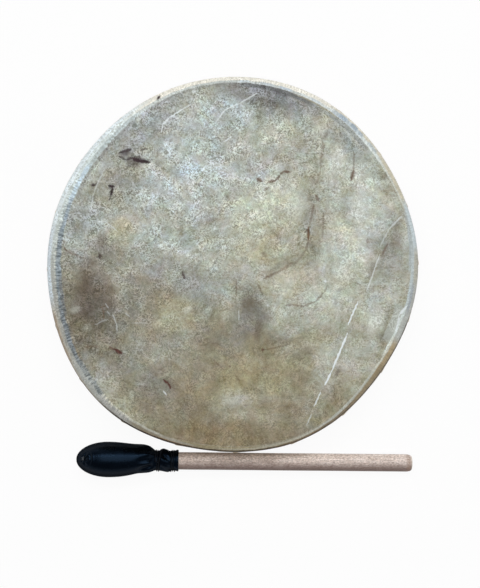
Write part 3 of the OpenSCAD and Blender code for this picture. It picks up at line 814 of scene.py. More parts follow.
# Where the rim keeps the roots of thick hair: direction, half spread, from and to in rim widths
thick_hair = (194, 38, 0.56, 1.04)


def hide_tree(name, seed_shift):
    """Starts a hide's material and returns its parts, with the places that it is drawn on."""
    material, tree, surface = new_material(name)
    place = vectors(tree, "ADD", place_of(tree), seed_shift)
    skin = use(tree, rawhide_skin, {"Place": place})
    return material, tree, surface, place, skin


def mark_mask(tree, place, x, y, half_long, half_wide, turn, edge):
    inputs = {
        "Place": place, "Centre": (x * MM, y * MM, 0), "Turn": math.radians(turn),
        "Half size": (half_long * MM, half_wide * MM, 1), "Edge": edge,
    }
    return use(tree, hide_mark, inputs)["Mask"]


def line_mask(tree, place, x0, y0, x1, y1, width, edge):
    ends = {"Start": (x0 * MM, y0 * MM, 0), "End": (x1 * MM, y1 * MM, 0)}
    return use(tree, hide_line, {"Place": place, "Width": width * MM, "Edge": edge, **ends})["Mask"]


def marks(tree, place, rows, edge):
    """The strongest of several ovals at each place, by their shares."""
    total = 0.0
    for *oval, share in rows:
        part = maths(tree, "MULTIPLY", mark_mask(tree, place, *oval, edge), share)
        total = maths(tree, "MAXIMUM", part, total)
    return total


def lines(tree, place, rows, edge):
    """The strongest of several lines at each place, by their shares."""
    total = 0.0
    for x0, y0, x1, y1, width, share, *_ in rows:
        part = maths(tree, "MULTIPLY", line_mask(tree, place, x0, y0, x1, y1, width, edge), share)
        total = maths(tree, "MAXIMUM", part, total)
    return total


def vary(tree, shade, cloud, strength, shares):
    """Lightens and darkens a colour by a cloud that is 0.5 on average, by channel shares."""
    swing = node(tree, "ShaderNodeVectorMath", operation="MULTIPLY_ADD")
    tree.links.new(cloud, swing.inputs[0])
    swing.inputs[1].default_value = [strength * s for s in shares]
    swing.inputs[2].default_value = [1 - strength * s / 2 for s in shares]
    return tint(tree, shade, swing.outputs[0], 1.0, "MULTIPLY")


def hide_ground(tree, place, broad):
    """The front hide's broad tones under clouds, from a hand's width down to a millimetre."""
    shade = colour(170, 172, 158)
    for *oval, tone, share in hide_tones:
        shade = stain(tree, shade, tone, mark_mask(tree, broad, *oval, 0.75), share)
    # The clouds are cooler where they are pale
    clouds = noise_at(tree, place, 60 * MM, 7.0, 0.92, 0.3)
    shade = vary(tree, shade, clouds, 3.0, (0.9, 1.0, 1.22))
    drift = noise_at(tree, place, 24 * MM, 6.0, 0.75, 0.6)
    shade = vary(tree, shade, drift, 0.6, (-0.5, 0.0, 1.2))
    blush = noise_at(tree, vectors(tree, "ADD", place, (0.4, 0.1, 0)), 20 * MM, 5.0, 0.7, 0.4)
    return vary(tree, shade, blush, 0.3, (0.8, -0.6, 0.3))


def hide_glint_and_pore_level(tree, place, broad, skin, share_in):
    """Pale flecks as a painted glint, strongest over the upper left where the light falls and weaker on
    the rim, and dark follicles.
    """
    sides = node(tree, "ShaderNodeSeparateXYZ", {0: broad}).outputs
    lit_upper_left = spread(tree, maths(tree, "SUBTRACT", sides[1], sides[0]), -120 * MM, 160 * MM)
    patches = spread(tree, noise_at(tree, place, 14 * MM, 3.0), 0.36, 0.64, 0.4, 1.5)
    fleck_share = maths(tree, "MULTIPLY", maths(tree, "MULTIPLY_ADD", lit_upper_left, 0.38, 0.42), patches)
    fleck_share = maths(tree, "MULTIPLY", fleck_share, spread(tree, share_in, 0.8, 1.1, 0.55, 1.0))
    flecks = maths(tree, "MULTIPLY", maths(tree, "SUBTRACT", skin["Flecks"], 0.3), fleck_share)
    pores = maths(tree, "MULTIPLY", maths(tree, "SUBTRACT", skin["Follicles"], 0.2), -0.2)
    return maths(tree, "ADD", maths(tree, "ADD", flecks, pores), 0.5)


def rim_streak_level(tree, facing, depth, share_in):
    """Streaks across the rim, dark and strong where the hair was thick."""
    inward = node(tree, "ShaderNodeCombineXYZ", {2: maths(tree, "MULTIPLY", depth, 0.3)}).outputs[0]
    along = vectors(tree, "MULTIPLY", facing, (mean_r, mean_r, 0))
    streaks = noise_at(tree, vectors(tree, "ADD", along, inward), 1.7 * MM, 2.0, 0.6)
    streaks = maths(tree, "SUBTRACT", spread(tree, streaks, 0.34, 0.66), 0.5)
    on_rim = spread(tree, share_in, 1.0, 1.1, 1.0, 0.0)
    hairy = rim_mask(tree, facing, share_in, thick_hair, 1.0, 0.08)
    reach = maths(tree, "MULTIPLY_ADD", hairy, 0.72, maths(tree, "MULTIPLY", on_rim, 0.16))
    return maths(tree, "MULTIPLY_ADD", streaks, reach, 0.5)


def make_front_hide_material():
    material, tree, surface, place, skin = hide_tree("goat_hide_front", (0, 0, 0))
    flat = vectors(tree, "MULTIPLY", place, (1, 1, 0))
    broad = use(tree, waver, {"Place": flat, "Size": 34 * MM, "Reach": 22 * MM})["Place"]
    middling = use(tree, waver, {"Place": flat, "Size": 12 * MM, "Reach": 9 * MM})["Place"]
    fine = use(tree, waver, {"Place": flat, "Size": 4 * MM, "Reach": 2.6 * MM})["Place"]

    shade = hide_ground(tree, place, broad)
    shade = tint(tree, shade, colour(203, 205, 192), marks(tree, middling, hide_pale, 0.8))
    shade = tint(tree, shade, colour(92, 80, 64), marks(tree, middling, hide_smudges, 0.9))
    shade = stain(tree, shade, (92, 64, 42), lines(tree, fine, hide_veins, 0.9), 0.95)

    facing = vectors(tree, "NORMALIZE", flat)
    shade = rim_shades(tree, shade, place)
    wander = maths(tree, "SUBTRACT", noise_at(tree, place, 9 * MM, 3.0), 0.5)
    share_in = maths(tree, "MULTIPLY_ADD", wander, 0.22, stored(tree, "rim"))
    # Rim colours with painted highlights and painted shade
    rim = rim_rows(tree, shade, facing, share_in, rim_tones_and_painted_light, 1.0, 0.07)
    depth = maths(tree, "MULTIPLY_ADD", wander, 1.6 * MM, stored(tree, "inset"))
    # The rim's colours, with their painted highlights and shade, fade out down the side
    shade = tint(tree, shade, rim, spread(tree, depth, -5 * MM, 0.3 * MM))
    shade = rim_rows(tree, shade, facing, depth, rim_edge_highlight_and_shadow, MM, 0.35 * MM)

    shade = tint(tree, shade, colour(58, 46, 52), marks(tree, fine, hide_blots, 0.95))
    strokes = maths(tree, "MULTIPLY", lines(tree, fine, hide_strokes, 0.7), 0.95)
    upward = node(tree, "ShaderNodeSeparateXYZ", {0: flat}).outputs[1]
    stroke_tone = tint(
        tree, colour(84, 50, 42), colour(46, 30, 32), spread(tree, upward, -60 * MM, 20 * MM)
    )
    shade = tint(tree, shade, stroke_tone, strokes)
    glint_and_pore_level = hide_glint_and_pore_level(tree, place, broad, skin, share_in)
    streak_level = rim_streak_level(tree, facing, depth, share_in)
    shade = vary(tree, shade, streak_level, 1.0, (1.06, 1.0, 0.96))
    # Painted glints: pale, bluish flecks that are strongest over the upper left
    shade = vary(tree, shade, glint_and_pore_level, 1.0, (0.96, 1.0, 1.12))
    # Near-white over the creases and dots: a painted highlight on the crease ridges, and dried skin on
    # the dots
    creases = lines(tree, fine, crease_ridges_and_highlights, 0.5)
    dots = marks(tree, fine, [(x, y, size, size, 0, share) for x, y, size, share in hide_dots], 1.0)
    shade = tint(tree, shade, colour(232, 238, 240), maths(tree, "MAXIMUM", creases, dots))
    tree.links.new(shade, surface.inputs["Base Color"])

    rough = maths(tree, "MULTIPLY_ADD", skin["Clouds"], -0.2, 0.62)
    tree.links.new(rough, surface.inputs["Roughness"])
    height = maths(tree, "MULTIPLY_ADD", creases, 1.5, skin["Height"])
    bump(tree, surface, height, 0.12 * MM, 0.8)
    surface.inputs["Specular IOR Level"].default_value = 0.2
    return material


def rim_mask(tree, facing, depth, row, unit, blur):
    """Where a stretch of the rim lies: direction, half of its spread, from and to in a unit."""
    direction, half, start, end = row
    toward = math.radians(direction)
    inputs = {
        "Facing": facing, "Depth": depth, "Towards": (math.cos(toward), math.sin(toward), 0),
        "Ends": math.cos(math.radians(half * 1.25)), "Full": math.cos(math.radians(half * 0.7)),
        "From": start * unit, "To": end * unit, "Blur": blur,
    }
    return use(tree, rim_stretch, inputs)["Mask"]


def rim_rows(tree, shade, facing, depth, rows, unit, blur):
    for direction, half, start, end, tone, share in rows:
        mask = rim_mask(tree, facing, depth, (direction, half, start, end), unit, blur)
        shade = stain(tree, shade, tone, mask, share)
    return shade


def rim_shades(tree, shade, place):
    """Dry, paler hide where it lies on the hoop, and a warm outer side."""
    inset = stored(tree, "inset")
    cloud = noise_at(tree, place, 6 * MM, 3.0)
    depth = maths(tree, "MULTIPLY_ADD", cloud, 3 * MM, maths(tree, "SUBTRACT", inset, 1.5 * MM))
    on_wood = spread(tree, depth, 5 * MM, 8 * MM, 1.0, 0.0)
    shade = stain(tree, shade, (186, 182, 168), on_wood, 0.6)
    outer = spread(tree, depth, -2 * MM, 2 * MM, 1.0, 0.0)
    side_tone = tint(tree, colour(204, 190, 160), colour(176, 154, 118), cloud)
    return tint(tree, shade, side_tone, maths(tree, "MULTIPLY", outer, 0.85))


def make_back_hide_material():
    """The back head, which the photograph doesn't show: the same hide with quieter marks."""
    material, tree, surface, place, skin = hide_tree("goat_hide_back", (0.31, 0.17, 0.05))
    shade = colour(166, 160, 140)
    large = spread(tree, noise_at(tree, place, 60 * MM, 4.0, 0.6, 1.0), 0.35, 0.65)
    shade = stain(tree, shade, (186, 180, 160), large, 0.6)
    dark_cloud = spread(tree, noise_at(tree, place, 22 * MM, 5.0, 0.65, 0.8), 0.5, 0.75)
    shade = stain(tree, shade, (112, 100, 78), dark_cloud, 0.45)
    small = spread(tree, skin["Clouds"], 0.38, 0.66)
    shade = stain(tree, shade, (204, 200, 184), small, 0.25)
    spots = spread(tree, noise_at(tree, place, 9 * MM, 2.0, 0.5, 1.2), 0.68, 0.76)
    shade = stain(tree, shade, (84, 60, 44), spots, 0.6)
    shade = stain(tree, shade, (214, 218, 214), skin["Flecks"], 0.2)
    shade = stain(tree, shade, (96, 92, 82), skin["Follicles"], 0.22)
    shade = rim_shades(tree, shade, place)
    tree.links.new(shade, surface.inputs["Base Color"])
    rough = maths(tree, "MULTIPLY_ADD", skin["Clouds"], -0.2, 0.66)
    tree.links.new(rough, surface.inputs["Roughness"])
    bump(tree, surface, skin["Height"], 0.12 * MM, 0.8)
    surface.inputs["Specular IOR Level"].default_value = 0.35
    return material


# Hides: flat across the drum, over the rounded edge and down the side as a skirt
hide_columns = 600
flat_rings = 110
fold_rings = 12
skirt_rings = 14
inner_flat_rings = 24
crest_place = 8 * MM
crest_h = 0.45 * MM
sag_h = 0.35 * MM
swell_h = 0.18 * MM
swell_size = 55 * MM
edge_ripple = 0.7 * MM
skirt_wrinkle = 0.22 * MM
punch_sides = 28
punch_reach = 6 * MM


def first_hole(side):
    """Direction of a skirt's first hole: the back's holes lie halfway between the front's."""
    return 0 if side > 0 else hole_pitch / 2


def hole_nearness(a, side):
    """1 beside a lacing hole and 0 halfway between two of them."""
    away = np.abs((a - first_hole(side) + hole_pitch / 2) % hole_pitch - hole_pitch / 2)
    return 1 - smooth((away - math.radians(3.3)) / math.radians(5.7))


def crease_lift(x, y, side):
    """Height of the creases over the flat of the front hide."""
    lift = np.zeros_like(x)
    if side < 0:
        return lift
    for x0, y0, x1, y1, width, share, height in crease_ridges_and_highlights:
        start, run = np.array([x0, y0]) * MM, np.array([x1 - x0, y1 - y0]) * MM
        along = ((x - start[0]) * run[0] + (y - start[1]) * run[1]) / (run @ run)
        held = np.clip(along, 0, 1)
        gap = np.hypot(x - start[0] - held * run[0], y - start[1] - held * run[1])
        lift = np.maximum(lift, height * MM * hump(gap, 0, width * MM))
    return lift


def noise_on_flat(x, y, seed):
    """Noise between -1 and 1 at each x and y."""
    return np.array([noise.noise(Vector((u, v, seed))) for u, v in zip(x, y)])


def make_hide(name, side):
    a = angles_round(hide_columns)
    near = hole_nearness(a, side)
    seed = 3.7 * side
    ripple = noise_on_flat(14 * np.cos(a), 14 * np.sin(a), seed)
    pleat = noise_on_flat(34 * np.cos(a), 34 * np.sin(a), seed)
    edge = edge_h + scallop * (1 - near) + edge_ripple * ripple

    def flat_ring(share, thick):
        r = share * (hoop_r(a) - bearing_r)
        x, y = r * np.cos(a), r * np.sin(a)
        inset = hoop_r(a) + skin_stack - r
        crest = crest_h * (hump(inset, crest_place, 3 * MM) - 1)
        sag = -sag_h * (1 - share ** 2)
        swell = swell_h * noise_on_flat(x / swell_size, y / swell_size, seed) * (1 - share ** 8)
        z = hoop_half_h + hide_gap + thick + crest + sag + swell + crease_lift(x, y, side)
        return x, y, mid_z + side * z, inset

    def side_ring(offset, height):
        r = hoop_r(a) + offset
        # Down the side, the inset goes on below zero by half of the way
        inset = skin_stack - offset - 0.5 * np.maximum(fold_h - height, 0)
        return r * np.cos(a), r * np.sin(a), mid_z + side * height, inset

    def fold_ring(t, thick):
        r = bearing_r + hide_gap + thick
        crest = crest_h * (hump(t, math.pi / 2, 0.35) - 1)
        return side_ring(r * math.cos(t) - bearing_r, fold_h + r * math.sin(t) + crest)

    def skirt_ring(share, thick):
        height = fold_h + (edge - fold_h) * share
        raised = smooth((shoulder_start + shoulder_h - height) / shoulder_h)
        wrinkle = skirt_wrinkle * pleat * share * (1 - near)
        return side_ring(hide_gap + thick + raised * near * lace_room + wrinkle, height)

    shares = [smooth(i / flat_rings) * 0.35 + i / flat_rings * 0.65 for i in range(1, flat_rings + 1)]
    rings = [flat_ring(s, hide_t) for s in shares]
    turns = [math.pi / 2 * (1 - k / fold_rings) for k in range(1, fold_rings + 1)]
    rings += [fold_ring(t, hide_t) for t in turns]
    downs = [k / skirt_rings for k in range(1, skirt_rings + 1)]
    rings += [skirt_ring(s, hide_t) for s in downs]
    rings += [skirt_ring(s, 0) for s in reversed(downs)]
    rings += [fold_ring(t, 0) for t in reversed(turns)]
    inner = [i / inner_flat_rings for i in range(1, inner_flat_rings + 1)]
    rings += [flat_ring(s, 0) for s in reversed(inner)]

    x, y, z, inset = (np.array([np.broadcast_to(v, a.shape) for v in rows]) for rows in zip(*rings))
    points = np.stack([x, y, z], axis=2).reshape(-1, 3)
    tips = [(0, 0, mid_z + side * (hoop_half_h + hide_gap + t - sag_h - crest_h)) for t in (hide_t, 0)]
    faces = grid_faces(len(rings), hide_columns)
    top_tip, inner_tip = len(points), len(points) + 1
    last = (len(rings) - 1) * hide_columns
    for j in range(hide_columns):
        k = (j + 1) % hide_columns
        faces.append((top_tip, j, k))
        faces.append((inner_tip, last + k, last + j))
    piece = new_piece(name, np.concatenate([points, tips]), faces)
    widths = np.interp(np.degrees(a), *np.array(rim_widths).T) * MM
    give(piece, "inset", np.concatenate([inset.ravel(), [mean_r, mean_r]]))
    give(piece, "rim", np.concatenate([(inset / widths).ravel(), [20, 20]]))
    punch_holes(piece, side)
    return piece


def punch_holes(piece, side):
    """Cuts the lacing holes through the skirt."""
    points, faces = [], []
    for k in range(lace_holes):
        a = first_hole(side) + k * hole_pitch
        out = Vector((math.cos(a), math.sin(a), 0))
        across = Vector((-math.sin(a), math.cos(a), 0))
        first = len(points)
        for depth in (hide_gap - 0.3 * MM, punch_reach):
            centre = out * (hoop_r(a) + depth) + Vector((0, 0, mid_z + side * hole_h))
            for t in angles_round(punch_sides):
                toward = math.cos(t) * across + math.sin(t) * Vector((0, 0, 1))
                points.append(centre + hole_d / 2 * toward)
        faces += [tuple(first + i for i in f) for f in grid_faces(2, punch_sides)]
        for start in (first, first + punch_sides):
            faces.append(tuple(range(start, start + punch_sides)))
    punch = new_piece("hole_punch", points, faces)
    cut = piece.modifiers.new("holes", "BOOLEAN")
    cut.operation = "DIFFERENCE"
    cut.solver = "MANIFOLD"
    cut.object = punch
    shape_again(piece, 40)
    bpy.data.objects.remove(punch)


dress(make_hide("front_hide", 1), "drum", make_front_hide_material(), "top_head")
dress(make_hide("back_hide", -1), "drum", make_back_hide_material(), "bottom_head")


# Swept pieces: strips and cords that follow a line of points
strap_sides = 14


def rounded(points, closed=True):
    """Cuts the corners of a line of points, which keeps it near its straight runs."""
    line = np.array(points, float)
    following = np.roll(line, -1, axis=0) if closed else line[1:]
    here = line if closed else line[:-1]
    cut = np.stack([0.75 * here + 0.25 * following, 0.25 * here + 0.75 * following], axis=1)
    cut = cut.reshape(-1, line.shape[1])
    return cut if closed else np.concatenate([line[:1], cut, line[-1:]])


def tangents(line, closed):
    if closed:
        run = np.roll(line, -1, axis=0) - np.roll(line, 1, axis=0)
    else:
        run = np.gradient(line, axis=0)
    return run / np.linalg.norm(run, axis=1)[:, None]


def lengths_along(line):
    steps = np.linalg.norm(np.diff(line, axis=0), axis=1)
    return np.concatenate([[0], np.cumsum(steps)])


def swept(name, rings, closed=False, sharp=40):
    """A solid skin over rings of points, with ends of its own where it isn't a loop."""
    rings = np.array(rings, float)
    count, sides = rings.shape[:2]
    faces = grid_faces(count, sides, rings_meet=closed)
    if not closed:
        faces.append(tuple(range(sides)))
        faces.append(tuple(range((count - 1) * sides, count * sides)))
    return new_piece(name, rings.reshape(-1, 3), faces, sharp)


def strap_rings(line, across, widths, thick, closed=False):
    """Rings of a flat strip with rounded edges."""
    run = tangents(line, closed)
    wide = across - run * np.sum(across * run, axis=1)[:, None]
    wide /= np.linalg.norm(wide, axis=1)[:, None]
    through = np.cross(run, wide)
    rings = []
    for t in angles_round(strap_sides):
        u = np.sign(math.cos(t)) * abs(math.cos(t)) ** 0.5
        v = np.sign(math.sin(t)) * abs(math.sin(t)) ** 0.6
        rings.append(line + wide * (u * widths / 2)[:, None] + through * (v * thick / 2))
    return np.stack(rings, axis=1)


def cord_rings(line, ups, thick, strands=3, lay_mm=3.0, sides=18):
    """Rings of a cord laid up from twisted strands."""
    run = tangents(line, False)
    up = ups - run * np.sum(ups * run, axis=1)[:, None]
    up /= np.linalg.norm(up, axis=1)[:, None]
    side = np.cross(run, up)
    twist = lengths_along(line) / (lay_mm * MM) * 2 * math.pi
    rings = []
    for t in angles_round(sides):
        r = thick / 2 * (0.82 + 0.18 * np.abs(np.cos(strands / 2 * (t - twist))))
        rings.append(line + up * (r * math.cos(t))[:, None] + side * (r * math.sin(t))[:, None])
    return np.stack(rings, axis=1)


# Hoop: one bent strip of ash whose feathered ends overlap in a glued scarf
scarf_start = math.radians(-48)
scarf_span = math.radians(27)
feather_t = 0.6 * MM
glue_t = 0.2 * MM
strip_step = math.radians(0.5)
bearing_steps = 10


def strip_half_line():
    """The strip's upper line as offsets and half heights."""
    turns = [math.pi / 2 * k / bearing_steps for k in range(bearing_steps + 1)]
    offsets = [-hoop_t, -hoop_t + inner_chamfer] + [bearing_r * (math.sin(t) - 1) for t in turns]
    heights = [hoop_half_h - inner_chamfer, hoop_half_h]
    heights += [hoop_half_h - bearing_r * (1 - math.cos(t)) for t in turns]
    return np.array(offsets), np.array(heights)


def make_hoop():
    offsets, heights = strip_half_line()
    slope_t = hoop_t - 2 * feather_t - glue_t
    scarf_steps = round(scarf_span / strip_step)
    body_steps = round((2 * math.pi - scarf_span) / strip_step)
    scarf = [(i * strip_step, -feather_t - slope_t * i / scarf_steps) for i in range(scarf_steps + 1)]
    stations = [(turn, inner_o, 0) for turn, inner_o in scarf]
    stations += [(scarf_span + i * strip_step, -hoop_t, 0) for i in range(1, body_steps)]
    stations += [(2 * math.pi + turn, -hoop_t, face_o - glue_t) for turn, face_o in scarf]
    rings, grain = [], []
    for turn, inner_o, outer_o in stations:
        a = scarf_start + turn
        spread_o = inner_o + (outer_o - inner_o) * (offsets + hoop_t) / hoop_t
        half = np.interp(spread_o, offsets, heights)
        upper = list(zip(spread_o, half))
        section = upper + [(o, -h) for o, h in reversed(upper)]
        rings.append([at(a, o, h) for o, h in section])
        grain += [(turn * mean_r, o, h) for o, h in section]
    piece = swept("bent_hoop", rings, sharp=30)
    give(piece, "grain", grain)
    return piece


def make_wood_material(name, attribute, tones, line_mm, fleck_share, gloss):
    """Bare wood: tones are pale, dark and fleck colours."""
    material, tree, surface = new_material(name)
    place = place_of(tree, attribute)
    grain = use(tree, wood_grain, {"Place": place, "Line size": line_mm * MM, "Fleck size": 0.9 * MM})
    pale, dark, fleck = tones
    lines = spread(tree, grain["Lines"], 0.34, 0.66)
    shade = tint(tree, colour(*pale), colour(*dark), lines)
    shade = stain(tree, shade, dark, spread(tree, grain["Bands"], 0.4, 0.62), 0.5)
    shade = stain(tree, shade, fleck, grain["Flecks"], fleck_share)
    soil = spread(tree, noise_at(tree, place, 25 * MM, 4.0), 0.5, 0.75)
    shade = stain(tree, shade, fleck, soil, 0.25)
    rough = maths(tree, "MULTIPLY_ADD", lines, 0.12, gloss)
    tree.links.new(rough, surface.inputs["Roughness"])
    height = maths(tree, "MULTIPLY_ADD", grain["Flecks"], -0.8, lines)
    bump(tree, surface, height, 0.06 * MM, 0.7)
    surface.inputs["Specular IOR Level"].default_value = 0.3
    return material, tree, surface, place, shade


def make_hoop_material():
    tones = [(206, 182, 140), (178, 148, 104), (128, 98, 64)]
    material, tree, surface, _, shade = make_wood_material("ash_hoop", "grain", tones, 1.6, 0.5, 0.5)
    tree.links.new(shade, surface.inputs["Base Color"])
    return material


dress(make_hoop(), "drum", make_hoop_material(), "hoop")


# Lace: up under a skirt, out through a hole, back over the skirt's edge and across the band
lace_slope = 2 * hole_h / (math.pi * mean_r / lace_holes)
lace_rise = math.atan(lace_slope)
lace_low = lace_gap + lace_t / 2
lace_high = lace_low + lace_room + skin_stack
cross_h = edge_h - lace_drop
thread_run = (hole_d - lace_t - lace_gap) / 2
knot_turn = hole_pitch / 4
tail_len = 8 * MM
tail_steps = 8
wraps = 2
wrap_steps = 20
wrap_w = 1.9 * MM
wrap_t = 0.85 * MM
wrap_pitch = 2 * MM
wrap_depth = 1.35 * MM
wrap_height = 1.9 * MM


def lace_route():
    """The lace as rows of direction, offset, height and the turn of its width."""
    cross_w = (hole_h - cross_h) / lace_slope
    near_h = hole_h - thread_run * lace_slope
    stretch = [
        (-cross_w, cross_h, lace_low, -lace_rise),
        (-thread_run, near_h, lace_low, -lace_rise),
        (0, hole_h - thread_run * lace_slope / 2, (lace_low + lace_high) / 2, 0),
        (thread_run, near_h, lace_high, lace_rise),
        (cross_w, cross_h, lace_high, lace_rise),
    ]
    route = []
    for k in range(2 * lace_holes):
        side = 1 if k % 2 == 0 else -1
        for sideways, height, offset, turn in stretch:
            route.append((k * hole_pitch / 2 + sideways / mean_r, offset, side * height, side * turn))
    return route


def make_lace():
    route = np.array(lace_route())
    once_round = np.array([2 * math.pi, 0, 0, 0])
    full_turn = np.concatenate([route, route[:1] + once_round])
    fine = []
    for here, following in zip(full_turn[:-1], full_turn[1:]):
        steps = 4 if abs(following[0] - here[0]) > math.radians(0.9) else 2
        fine += [here + (following - here) * i / steps for i in range(steps)]
    fine = np.array(fine)
    # Directions run on past a full turn, so the corners are cut on the points themselves
    line = rounded([at(a, o, h) for a, o, h, _ in fine])
    turns = np.concatenate([fine, fine[:1] + once_round])[:, [0, 3]]
    direction, turn = rounded(turns, closed=False)[1:-1].T
    sideways = np.stack([-np.sin(direction), np.cos(direction), 0 * direction], axis=1)
    across = np.sin(turn)[:, None] * sideways + np.cos(turn)[:, None] * np.array([0, 0, 1])
    widths = lace_w * (1 + 0.12 * noise_over(line, 90))
    rings = strap_rings(line, across, widths, lace_t, closed=True)
    return swept("rawhide_lace", rings, closed=True)


def make_knot():
    """Two wraps of the lace round its own crossing, with both cut ends standing out."""
    middle = np.array(at(knot_turn, (lace_low + lace_high) / 2, 0))
    out = np.array([math.cos(knot_turn), math.sin(knot_turn), 0])
    sideways = np.array([-math.sin(knot_turn), math.cos(knot_turn), 0])
    up = np.array([0, 0, 1])
    run = math.cos(lace_rise) * sideways - math.sin(lace_rise) * up
    over = np.cross(out, run)
    line = []
    for i in range(wraps * wrap_steps + 1):
        t = 2 * math.pi * (i / wrap_steps + 0.25)
        along = run * wrap_pitch * (i / wrap_steps - wraps / 2)
        line.append(middle + along + out * wrap_depth * math.cos(t) + over * wrap_height * math.sin(t))
    ends = []
    for end, way in ((line[0], -1), (line[-1], 1)):
        tail = []
        for share in np.arange(1, tail_steps + 1) / tail_steps:
            reach = way * (2.5 * MM * share + tail_len * share ** 1.3)
            curl = 1.1 * MM * math.sin(2.4 * share)
            drop = way * 1.2 * MM * share ** 2
            tail.append(end + sideways * reach + out * (0.3 * MM + curl) + up * drop)
        ends.append(tail)
    whole = rounded(list(reversed(ends[0])) + line + ends[1], closed=False)
    across = np.tile(run, (len(whole), 1))
    share = np.abs(np.linspace(-1, 1, len(whole)))
    stand = smooth((share - 0.55) / 0.3)[:, None]
    across = across * (1 - stand) + up * stand
    widths = wrap_w * (1 + 0.3 * smooth((share - 0.7) / 0.3))
    return swept("lace_knot", strap_rings(whole, across, widths, wrap_t))


def make_lace_material():
    material, tree, surface = new_material("rawhide_thong")
    place = place_of(tree)
    skin = use(tree, rawhide_skin, {"Place": place})
    clouds = spread(tree, skin["Clouds"], 0.35, 0.68)
    shade = tint(tree, colour(206, 190, 154), colour(170, 144, 102), clouds)
    shade = stain(tree, shade, (226, 218, 194), skin["Flecks"], 0.35)
    shade = stain(tree, shade, (104, 84, 58), skin["Follicles"], 0.3)
    tree.links.new(shade, surface.inputs["Base Color"])
    rough = maths(tree, "MULTIPLY_ADD", skin["Clouds"], -0.25, 0.62)
    tree.links.new(rough, surface.inputs["Roughness"])
    bump(tree, surface, skin["Height"], 0.12 * MM, 0.8)
    surface.inputs["Specular IOR Level"].default_value = 0.35
    return material


thong = make_lace_material()
dress(make_lace(), "drum", thong, "side_lace")
dress(make_knot(), "drum", thong)


# Steel: the nails through the scarf and the loose shot keep their CAD shapes
shot_lanes = 12


def make_steel_material(name, tone, tarnish, rough_low, tarnish_share):
    material, tree, surface = new_material(name)
    place = place_of(tree)
    cloud = noise_at(tree, place, 1.4 * MM, 4.0, 0.6)
    scratches = noise_at(tree, vectors(tree, "MULTIPLY", place, (1, 1, 0.12)), 0.4 * MM, 2.0)
    shade = stain(tree, colour(*tone), tarnish, spread(tree, cloud, 0.45, 0.7), tarnish_share)
    tree.links.new(shade, surface.inputs["Base Color"])
    metal = spread(tree, cloud, 0.6, 0.75, 1.0, 1.0 - tarnish_share)
    tree.links.new(metal, surface.inputs["Metallic"])
    tree.links.new(maths(tree, "MULTIPLY_ADD", cloud, 0.3, rough_low), surface.inputs["Roughness"])
    bump(tree, surface, scratches, 0.02 * MM, 0.5)
    return material


nail_steel = make_steel_material("nail_steel", (150, 148, 144), (104, 78, 58), 0.3, 0.7)
wear(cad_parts["scarf_nails"], nail_steel)
shot_steel = make_steel_material("shot_steel", (196, 198, 202), (150, 152, 156), 0.12, 0.3)
for k in range(shot_lanes):
    wear(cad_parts[f"shot_lane_{k + 1:02d}"], shot_steel)


# Beater: made along X from its tip, then laid down beside the drum
beater_len = 370 * MM
crown_r = 20 * MM
crown_x = 35 * MM
first_tie = 87 * MM
second_tie = 104 * MM
cover_len = 112.5 * MM
stick_d = 19 * MM
stick_start = 9 * MM
stick_round = 2.4 * MM
stick_round_len = 6.5 * MM
leather_t = 1.4 * MM
beater_gap = 0.1 * MM
tie_d = 1.4 * MM
tie_w = 4 * MM
thread_d = 0.7 * MM
thread_place = 9 * MM
thread_angle = 14
thread_turns = 3
thread_knot_d = 2.6 * MM
thread_pitch = thread_d + 0.45 * MM
dowel_rings = 150
dowel_columns = 64
padding_rings = 40
padding_columns = 48
beater_left = 171 * MM
beater_clear = 5.5 * MM
beater_turn = math.radians(-0.8)
thread_stand = crown_r * math.sqrt(1 - (1 - thread_place / crown_x) ** 2)

sleeve_r = stick_d / 2 + beater_gap
neck_r = sleeve_r + leather_t
lay_down = math.asin((crown_r - stick_d / 2) / (beater_len - stick_round_len - crown_x))
beater_z = crown_r * math.cos(lay_down) + crown_x * math.sin(lay_down)
beater_y = -mean_r - beater_clear - stick_d / 2 - beater_left * math.tan(beater_turn)
beater_lay = (
    Matrix.Translation((-beater_left, beater_y, beater_z))
    @ Matrix.Rotation(beater_turn, 4, "Z")
    @ Matrix.Rotation(lay_down, 4, "Y")
)


def lay_beater(piece, node_name, material):
    piece.matrix_world = beater_lay
    dress(piece, "beater", material, node_name)


def turned(x, r, columns):
    """Rings of points round X at each x and radius."""
    t = angles_round(columns)
    x, r = np.asarray(x)[:, None], np.asarray(r)[:, None]
    rings = [x + 0 * t, r * np.cos(t), r * np.sin(t)]
    return np.stack(np.broadcast_arrays(*rings), axis=2)


def make_dowel():
    """A hand-sanded dowel, a little uneven, with one rounded end."""
    rounding = np.linspace(0, math.pi / 2, 9)[1:]
    round_from = beater_len - stick_round_len
    end_r = stick_d / 2 - stick_round
    x = np.concatenate([
        np.linspace(stick_start, round_from, dowel_rings),
        round_from + stick_round_len * np.sin(rounding),
        [beater_len, beater_len],
    ])
    r = np.concatenate([
        np.full(dowel_rings, stick_d / 2),
        stick_d / 2 - stick_round * (1 - np.cos(rounding)),
        [end_r * 0.6, end_r * 0.2],
    ])
    rings = turned(x, r, dowel_columns)
    rings[:, :, 1:] *= 1 + 0.008 * noise_over(rings, (40, 70, 70))[:, :, None]
    return swept("beater_dowel", rings, sharp=50)


